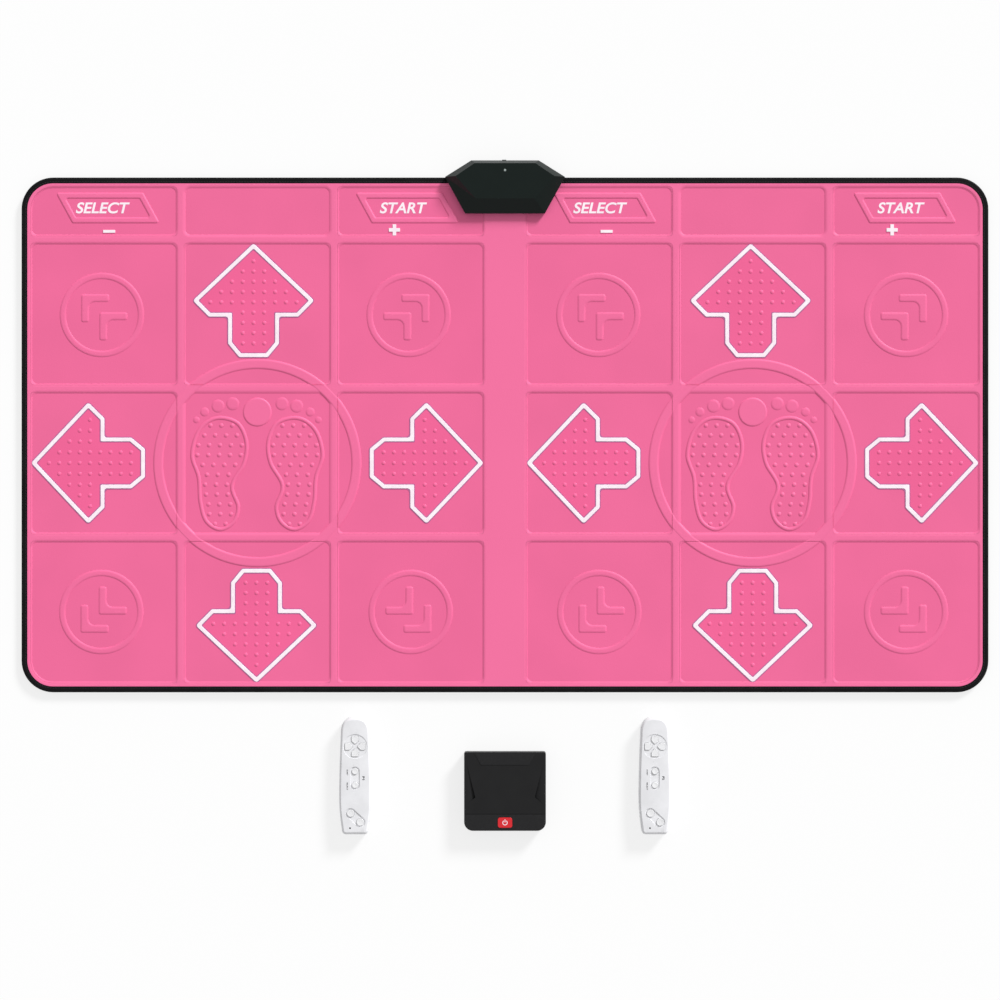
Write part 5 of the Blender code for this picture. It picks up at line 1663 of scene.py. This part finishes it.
lens_outline = ring_of(HANDSET_LAMP_R, HANDSET_LAMP_STEPS, LAMP_AT)
lens = plate("lens", [lens_outline], HANDSET_H - 2 * HANDSET_WALL, HANDSET_H - GAP, GAP, 3)
for number, unit in enumerate(HANDSETS):
    place = handset_place(unit)
    mouldings = (
        (upper, "top", unit, "upper_shell"),
        (lower, "tray", unit, "lower_shell"),
        (door, "door", f"{unit}_battery_door", "battery_door"),
    )
    for shape, name, body, node in mouldings:
        shell = copy_of(shape, f"{unit}_{name}", place)
        dressed(shell, white_plastic, body, "white_shell", f"{unit}_{node}", angle=SHELL_ANGLE)
    for name, (outline, quarter_turns, middle) in KEYS.items():
        node = f"{unit}_key_{name}"
        spot = (place[0] + middle[0], place[1] + middle[1], 0.0)
        key = copy_of(KEY_CAPS[outline], f"{node}_cap", spot, quarter_turns)
        dressed(key, key_plastic, node, "white_key", node)
    words = [ink("mark", f"P{number + 1}", MARK_SIZE, (MARK_X, MARK_Y), MARK_BOLD)]
    for name, size in LABEL_SIZES.items():
        y = KEYS[name][2][1] - LABEL_DROP
        words.append(ink(name, name.upper(), size, (LABEL_X, y), LABEL_BOLD))
    both = joined("words", *words)
    dressed(copy_of(both, f"{unit}_words", place), black_ink, unit, None)
    discard(both)
    dressed(copy_of(lens, f"{unit}_lens", place), smoked_plastic, unit, None)
discard(upper, lower, door, lens, *KEY_CAPS.values())
print("handsets at:", [[round(v, 3) for v in handset_place(unit)[:2]] for unit in HANDSETS])

# %% [markdown]
# The console is a square box with two large round corners in front. Its lid has a wedge-shaped
# scoop down each side, a raised panel at the back and a groove that parts off the front strip. A
# scoop starts as a triangular plate, and the two outer corners of its underside are pulled up, so
# that it is deepest at its elbow.

# %% Console: lid
CONSOLE_HALF_W = 0.0695
CONSOLE_HALF_D = 0.0670
CONSOLE_TOP = 0.0290
CONSOLE_PARTING = 0.0150
CONSOLE_WALL = 0.0022
CONSOLE_ROUND = 0.0016
FRONT_CORNER_R = 0.0150
BACK_CORNER_R = 0.0035
SCOOP_X = 0.0650
SCOOP_Y = (-0.022, 0.047)
SCOOP_ELBOW = (0.0505, -0.010)
SCOOP_DEPTH = 0.0050
PANEL_Y = (0.0450, 0.0645)
PANEL_HALF_W = (0.0410, 0.0515)
PANEL_RISE = 0.0007
PANEL_EASE = 0.0008
GROOVE_Y = -0.0390
GROOVE_W = 0.0010
GROOVE_DEPTH = 0.0009
BADGE_Y = -0.0530
BADGE_SIZE = (0.0245, 0.0175)
BADGE_R = 0.0040


def console_outline(inward, steps=12):
    x = CONSOLE_HALF_W - inward
    y = CONSOLE_HALF_D - inward
    front = FRONT_CORNER_R - inward
    back = BACK_CORNER_R - inward
    return rounded_box((-x, x), (-y, y), [front, front, back, back], steps)


def badge_outline(grow):
    x = BADGE_SIZE[0] / 2 + grow
    y = BADGE_SIZE[1] / 2 + grow
    return rounded_box((-x, x), (BADGE_Y - y, BADGE_Y + y), [BADGE_R + grow] * 4)


def scoop(side, grow, top):
    """The wedge to cut with; grown, it is the wall under the scoop."""
    plan = [(side * SCOOP_X, SCOOP_Y[0]), (side * SCOOP_X, SCOOP_Y[1])]
    plan.append((side * SCOOP_ELBOW[0], SCOOP_ELBOW[1]))
    low = CONSOLE_TOP - SCOOP_DEPTH - grow
    wedge = plate("scoop", [drawn_in(plan[::side], -grow)], low, top)

    def outer_and_low(point):
        return side * point.x > (SCOOP_X + SCOOP_ELBOW[0]) / 2 and point.z < low + WELD

    lift = partial(bpy.ops.transform.translate, value=(0.0, 0.0, SCOOP_DEPTH))
    return where(wedge, "EDGE", outer_and_low, lift)


lid = half_shell(
    "console_lid", console_outline, CONSOLE_WALL, CONSOLE_TOP, CONSOLE_PARTING + GAP, CONSOLE_ROUND
)
for side in (-1, 1):
    carve(lid, scoop(side, CONSOLE_WALL, CONSOLE_TOP - CONSOLE_ROUND), "UNION")
across = (-CONSOLE_HALF_W - PAST, CONSOLE_HALF_W + PAST)
groove = flat_box(across, (GROOVE_Y, GROOVE_Y + GROOVE_W))
carve(lid, plate("groove", [groove], CONSOLE_TOP - GROOVE_DEPTH, CONSOLE_TOP + PAST))
carve(lid, plate("key_hole", [badge_outline(SLIP)], CONSOLE_TOP - PAST, CONSOLE_TOP + PAST))
for side in (-1, 1):
    carve(lid, scoop(side, 0.0, CONSOLE_TOP + GAP))
softened(lid, LIP)
corners = [
    (-PANEL_HALF_W[0], PANEL_Y[0]),
    (PANEL_HALF_W[0], PANEL_Y[0]),
    (PANEL_HALF_W[1], PANEL_Y[1]),
    (-PANEL_HALF_W[1], PANEL_Y[1]),
]
panel_z = (CONSOLE_TOP - SEAT, CONSOLE_TOP + PANEL_RISE)
panel = plate("panel", [eased(corners, PANEL_EASE)], *panel_z, LIP, 2)
lid = joined("console_lid", lid, panel)
print("lid:", len(lid.data.polygons), "faces")

# %% [markdown]
# Its finish has two textures: fine grain on the lid, and a coarse leather grain on the strip in
# front of the groove and on the raised panel. Where the piece's own Y or Z passes an edge, the
# coarse one takes over.

# %% Console: finish of the lid
console_low, console_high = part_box("console_upper_shell")
CONSOLE_Y = (console_low.y + console_high.y) / 2


def lid_finish():
    material, tree, shader = bare_finish("console_lid_plastic", BLACK_SHELL, 0.48)
    point = place_of(tree)
    strip = maths(tree, "SUBTRACT", 1.0, beyond(tree, "Y", CONSOLE_Y + GROOVE_Y + GROOVE_W / 2))
    raised = beyond(tree, "Z", CONSOLE_TOP + PANEL_RISE / 2)
    coarse = maths(tree, "MAXIMUM", strip, raised)
    voronoi = add_node(tree, "ShaderNodeTexVoronoi", Vector=point, Scale=700.0)
    hide = voronoi.outputs["Distance"]
    fine = noise_of(tree, point, 2200.0, 4.0)
    bump_of(tree, mixed(tree, coarse, fine, hide), 0.5, 0.0002, shader)
    cloudy = noise_of(tree, point, 35.0, 3.0)
    plain = blend_of(tree, cloudy, shade(BLACK_SHELL, 0.93), shade(BLACK_SHELL, 1.05))
    grained = blend_of(tree, hide, shade(BLACK_SHELL, 0.8), shade(BLACK_SHELL, 1.6), 0.1, 0.7)
    feed(
        tree,
        shader,
        Base_Color=mixed(tree, coarse, plain, grained),
        Roughness=level_of(tree, cloudy, 0.42, 0.52),
        Specular_IOR_Level=DARK_SPECULAR,
    )
    return material


lid_place = (0.0, CONSOLE_Y, 0.0)
top = copy_of(lid, "console_top", lid_place)
dressed(top, lid_finish(), "console", "black_shell", "console_upper_shell", angle=SHELL_ANGLE)
discard(lid)
print("console stands at y =", round(CONSOLE_Y, 4))

# %% [markdown]
# Under the lid lies a tray with bosses for the board, the holes of three sockets in its back wall
# and four rubber feet. The key on the strip is red, with a flange and a stem, and carries the
# plain sign for power.

# %% Console: tray, feet and key
FOOT_H = 0.0015
FOOT_R = 0.0060
FOOT_STEPS = 40
CONSOLE_BOSS_R = 0.0030
CONSOLE_BOSS_STEPS = 20
SOCKET_Z = 0.0108
SOCKET_R = 0.0017
SOCKET_STEPS = 24
SOCKET_PITCH = 0.016
SUPPLY_HALF = (0.0039, 0.0014)
board_low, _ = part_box("console_board")
badge_low, badge_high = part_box("console_power_key")
STEM_R = 0.0020
STEM_STEPS = 24
SIGN_R = 0.0044
SIGN_LINE = 0.0012
SIGN_GAP = 32           # degrees left open on either side of the bar
SIGN_STEPS = 30
BADGE_FLANGE_T = 0.0010

tray = half_shell(
    "console_tray", console_outline, CONSOLE_WALL, FOOT_H, CONSOLE_PARTING, CONSOLE_ROUND
)
rubber_feet = []
for sx, sy in product((-1, 1), repeat=2):
    spot = (sx * (CONSOLE_HALF_W - FRONT_CORNER_R), sy * (CONSOLE_HALF_D - FRONT_CORNER_R))
    boss = ring_of(CONSOLE_BOSS_R, CONSOLE_BOSS_STEPS, spot)
    carve(tray, plate("boss", [boss], FOOT_H + CONSOLE_WALL - SEAT, board_low.z - GAP), "UNION")
    foot = ring_of(FOOT_R, FOOT_STEPS, spot)
    rubber_feet.append(plate("foot", [foot], 0.0, FOOT_H + GAP / 2, SEAT, 3))
mouth = (CONSOLE_HALF_D - CONSOLE_WALL - GAP, CONSOLE_HALF_D + PAST)
for x in (-SOCKET_PITCH, 0.0):
    carve(tray, lying("jack", ring_of(SOCKET_R, SOCKET_STEPS, (x, SOCKET_Z)), *mouth))
supply_x = (SOCKET_PITCH - SUPPLY_HALF[0], SOCKET_PITCH + SUPPLY_HALF[0])
supply_z = (SOCKET_Z - SUPPLY_HALF[1], SOCKET_Z + SUPPLY_HALF[1])
carve(tray, lying("supply", flat_box(supply_x, supply_z), *mouth))
softened(tray, LIP)
tray_shell = copy_of(tray, "console_tray_shell", lid_place)
dressed(
    tray_shell, black_plastic, "console", "black_shell", "console_lower_shell", angle=SHELL_ANGLE
)
rubber_feet = joined("feet", *rubber_feet)
dressed(copy_of(rubber_feet, "console_feet", lid_place), rubber, "console", "black_shell")
discard(tray, rubber_feet)

flange_top = CONSOLE_TOP - CONSOLE_WALL - GAP
flange_low = flange_top - BADGE_FLANGE_T
cap = plate("badge", [badge_outline(0.0)], flange_low + WELD, badge_high.z, SEAT, 4)
flange = plate("flange", [badge_outline(FLANGE_W)], flange_low, flange_top)
stem = ring_of(STEM_R, STEM_STEPS, (0.0, BADGE_Y))
stem = plate("stem", [stem], badge_low.z, flange_low + WELD)
badge = joined("badge", cap, flange, stem)
key = copy_of(badge, "console_badge", lid_place)
dressed(key, red_plastic, "console_power_key", "red_badge", "console_power_key")
ends = (90 + SIGN_GAP, 450 - SIGN_GAP)
ring = arc((0.0, BADGE_Y), SIGN_R, *ends, SIGN_STEPS)
ring += arc((0.0, BADGE_Y), SIGN_R - SIGN_LINE, *reversed(ends), SIGN_STEPS)
bar_y = (BADGE_Y + SIGN_LINE / 2, BADGE_Y + SIGN_R + SIGN_LINE)
bar = flat_box((-SIGN_LINE / 2, SIGN_LINE / 2), bar_y)
power = plate("power", [ring, bar], badge_high.z - INK_T, badge_high.z + INK_T)
power_sign = copy_of(power, "console_power_sign", lid_place)
dressed(power_sign, white_print, "console_power_key", None)
discard(badge, power)
print("console dressed, key top at", round(1000 * badge_high.z, 1), "mm")

# %% [markdown]
# The receiver is a gem-like shell: an upright rim, then sloping facets up to a flat top. The solid
# has that shape already, so a copy of its mesh is used. The copy is merged first, its facets are
# made whole again with a limited dissolve, and its edges are rounded. A small lens closes the
# lamp's hole.

# %% Receiver
FACET_ROUND = 0.0008
FACET_ANGLE = 20.0      # between facets from which an edge is rounded
FLAT_ANGLE = math.radians(1)
_, cover_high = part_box("receiver_cover")
RECEIVER_LAMP_R = 0.0020
RECEIVER_LAMP_STEPS = 28
RECEIVER_LAMP_IN = 0.018    # from the receiver's back
RECEIVER_LAMP_Y = cover_high.y - RECEIVER_LAMP_IN


def refined(name, node, width, segments):
    """A copy of a solid's mesh with whole facets and rounded edges."""
    piece = bpy.data.objects.new(name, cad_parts[node].data.copy())
    bpy.context.collection.objects.link(piece)
    in_edit_mode(
        piece,
        partial(bpy.ops.mesh.remove_doubles, threshold=WELD),
        partial(bpy.ops.mesh.dissolve_limited, angle_limit=FLAT_ANGLE),
        partial(bpy.ops.mesh.normals_make_consistent, inside=False),
    )
    return softened(piece, width, segments, FACET_ANGLE)


cover = refined("receiver_top", "receiver_cover", FACET_ROUND, 3)
dressed(cover, receiver_plastic, "mat", "black_shell", "receiver_cover", angle=SHELL_ANGLE)
base = refined("receiver_plate", "receiver_base", LIP, 2)
dressed(base, receiver_plastic, "mat", "black_shell", "receiver_base", angle=SHELL_ANGLE)
lamp_outline = ring_of(RECEIVER_LAMP_R, RECEIVER_LAMP_STEPS, (0.0, RECEIVER_LAMP_Y))
lamp_z = (cover_high.z - 2 * SEAT, cover_high.z + GAP / 2)
lamp_lens = plate("receiver_lens", [lamp_outline], *lamp_z, GAP, 3)
milky_plastic = moulded("milky_lens", srgb(150, 160, 158), 0.25, 900.0)
dressed(lamp_lens, milky_plastic, "mat", None)
print("receiver cover:", len(cover.data.polygons), "faces")

# %% [markdown]
# What is left are solids whose own shape is right: circuit boards, cells, the receiver's door and
# its switch. They keep their mesh and get a finish. On a board the height decides: below its top
# the green lacquer with its tracks, above it the black parts. On a cell the place along it decides
# between jacket, copper band and bare metal.

# %% Boards, cells, door and switch
CELL_L = 0.0445
BAND = (0.70, 0.704)    # shares of a cell's length over which the jacket turns to copper
METAL = (0.968, 0.970)  # and copper to bare metal
JACKET = srgb(34, 36, 44)
HANDSET_BOARD_TOP = 0.0181
BOARD_T = 0.0016        # of the receiver's and the console's boards


def lacquered_board(name, top, part_colour):
    material, tree, shader = bare_finish(name, srgb(24, 86, 52), 0.35)
    point = place_of(tree)
    tracks = add_node(tree, "ShaderNodeTexVoronoi", Vector=point, Scale=260.0)
    tracks.distance = "CHEBYCHEV"
    tracks.feature = "F2"
    lines = tracks.outputs["Distance"]
    lacquer = blend_of(tree, lines, srgb(20, 78, 46), srgb(58, 128, 78), 0.62, 0.66)
    mottled = noise_of(tree, point, 400.0)
    parts = blend_of(tree, mottled, shade(part_colour, 0.8), shade(part_colour, 1.2))
    feed(tree, shader, Base_Color=mixed(tree, beyond(tree, "Z", top), lacquer, parts))
    bump_of(tree, lines, 0.3, 0.0001, shader)
    return material


def battery_jacket():
    material, tree, shader = bare_finish("battery_jacket", JACKET, 0.35)
    cells = add_node(tree, "ShaderNodeSeparateXYZ", Vector=place_of(tree, 1 / CELL_L))
    along = maths(tree, "WRAP", cells.outputs["X"], 1.0, 0.0)
    copper = srgb(188, 118, 62)
    band = blend_of(tree, along, JACKET, copper, *BAND)
    steel = add_node(tree, "ShaderNodeMapRange", Value=along, From_Min=METAL[0], From_Max=METAL[1])
    bare = steel.outputs["Result"]
    scuffs = noise_of(tree, place_of(tree), 500.0, 4.0)
    feed(
        tree,
        shader,
        Base_Color=mixed(tree, bare, band, srgb(196, 196, 198)),
        Metallic=bare,
        Roughness=level_of(tree, scuffs, 0.25, 0.45),
    )
    bump_of(tree, scuffs, 0.15, 0.0001, shader)
    return material


receiver_board_low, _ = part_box("receiver_board")
dark_parts = srgb(28, 28, 30)
handset_board = lacquered_board("handset_board_lacquer", HANDSET_BOARD_TOP, srgb(52, 52, 54))
receiver_board = lacquered_board(
    "receiver_board_lacquer", receiver_board_low.z + BOARD_T, dark_parts
)
console_board = lacquered_board("console_board_lacquer", board_low.z + BOARD_T, dark_parts)
kept_solids = {
    "handset_1_circuit_board": handset_board,
    "handset_2_circuit_board": handset_board,
    "receiver_board": receiver_board,
    "console_board": console_board,
    "receiver_batteries": battery_jacket(),
    "receiver_battery_door": receiver_plastic,
    "receiver_power_switch": black_plastic,
}
for node, material in kept_solids.items():
    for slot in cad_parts[node].material_slots:
        slot.material = material
print("solids that keep their shape:", len(kept_solids))
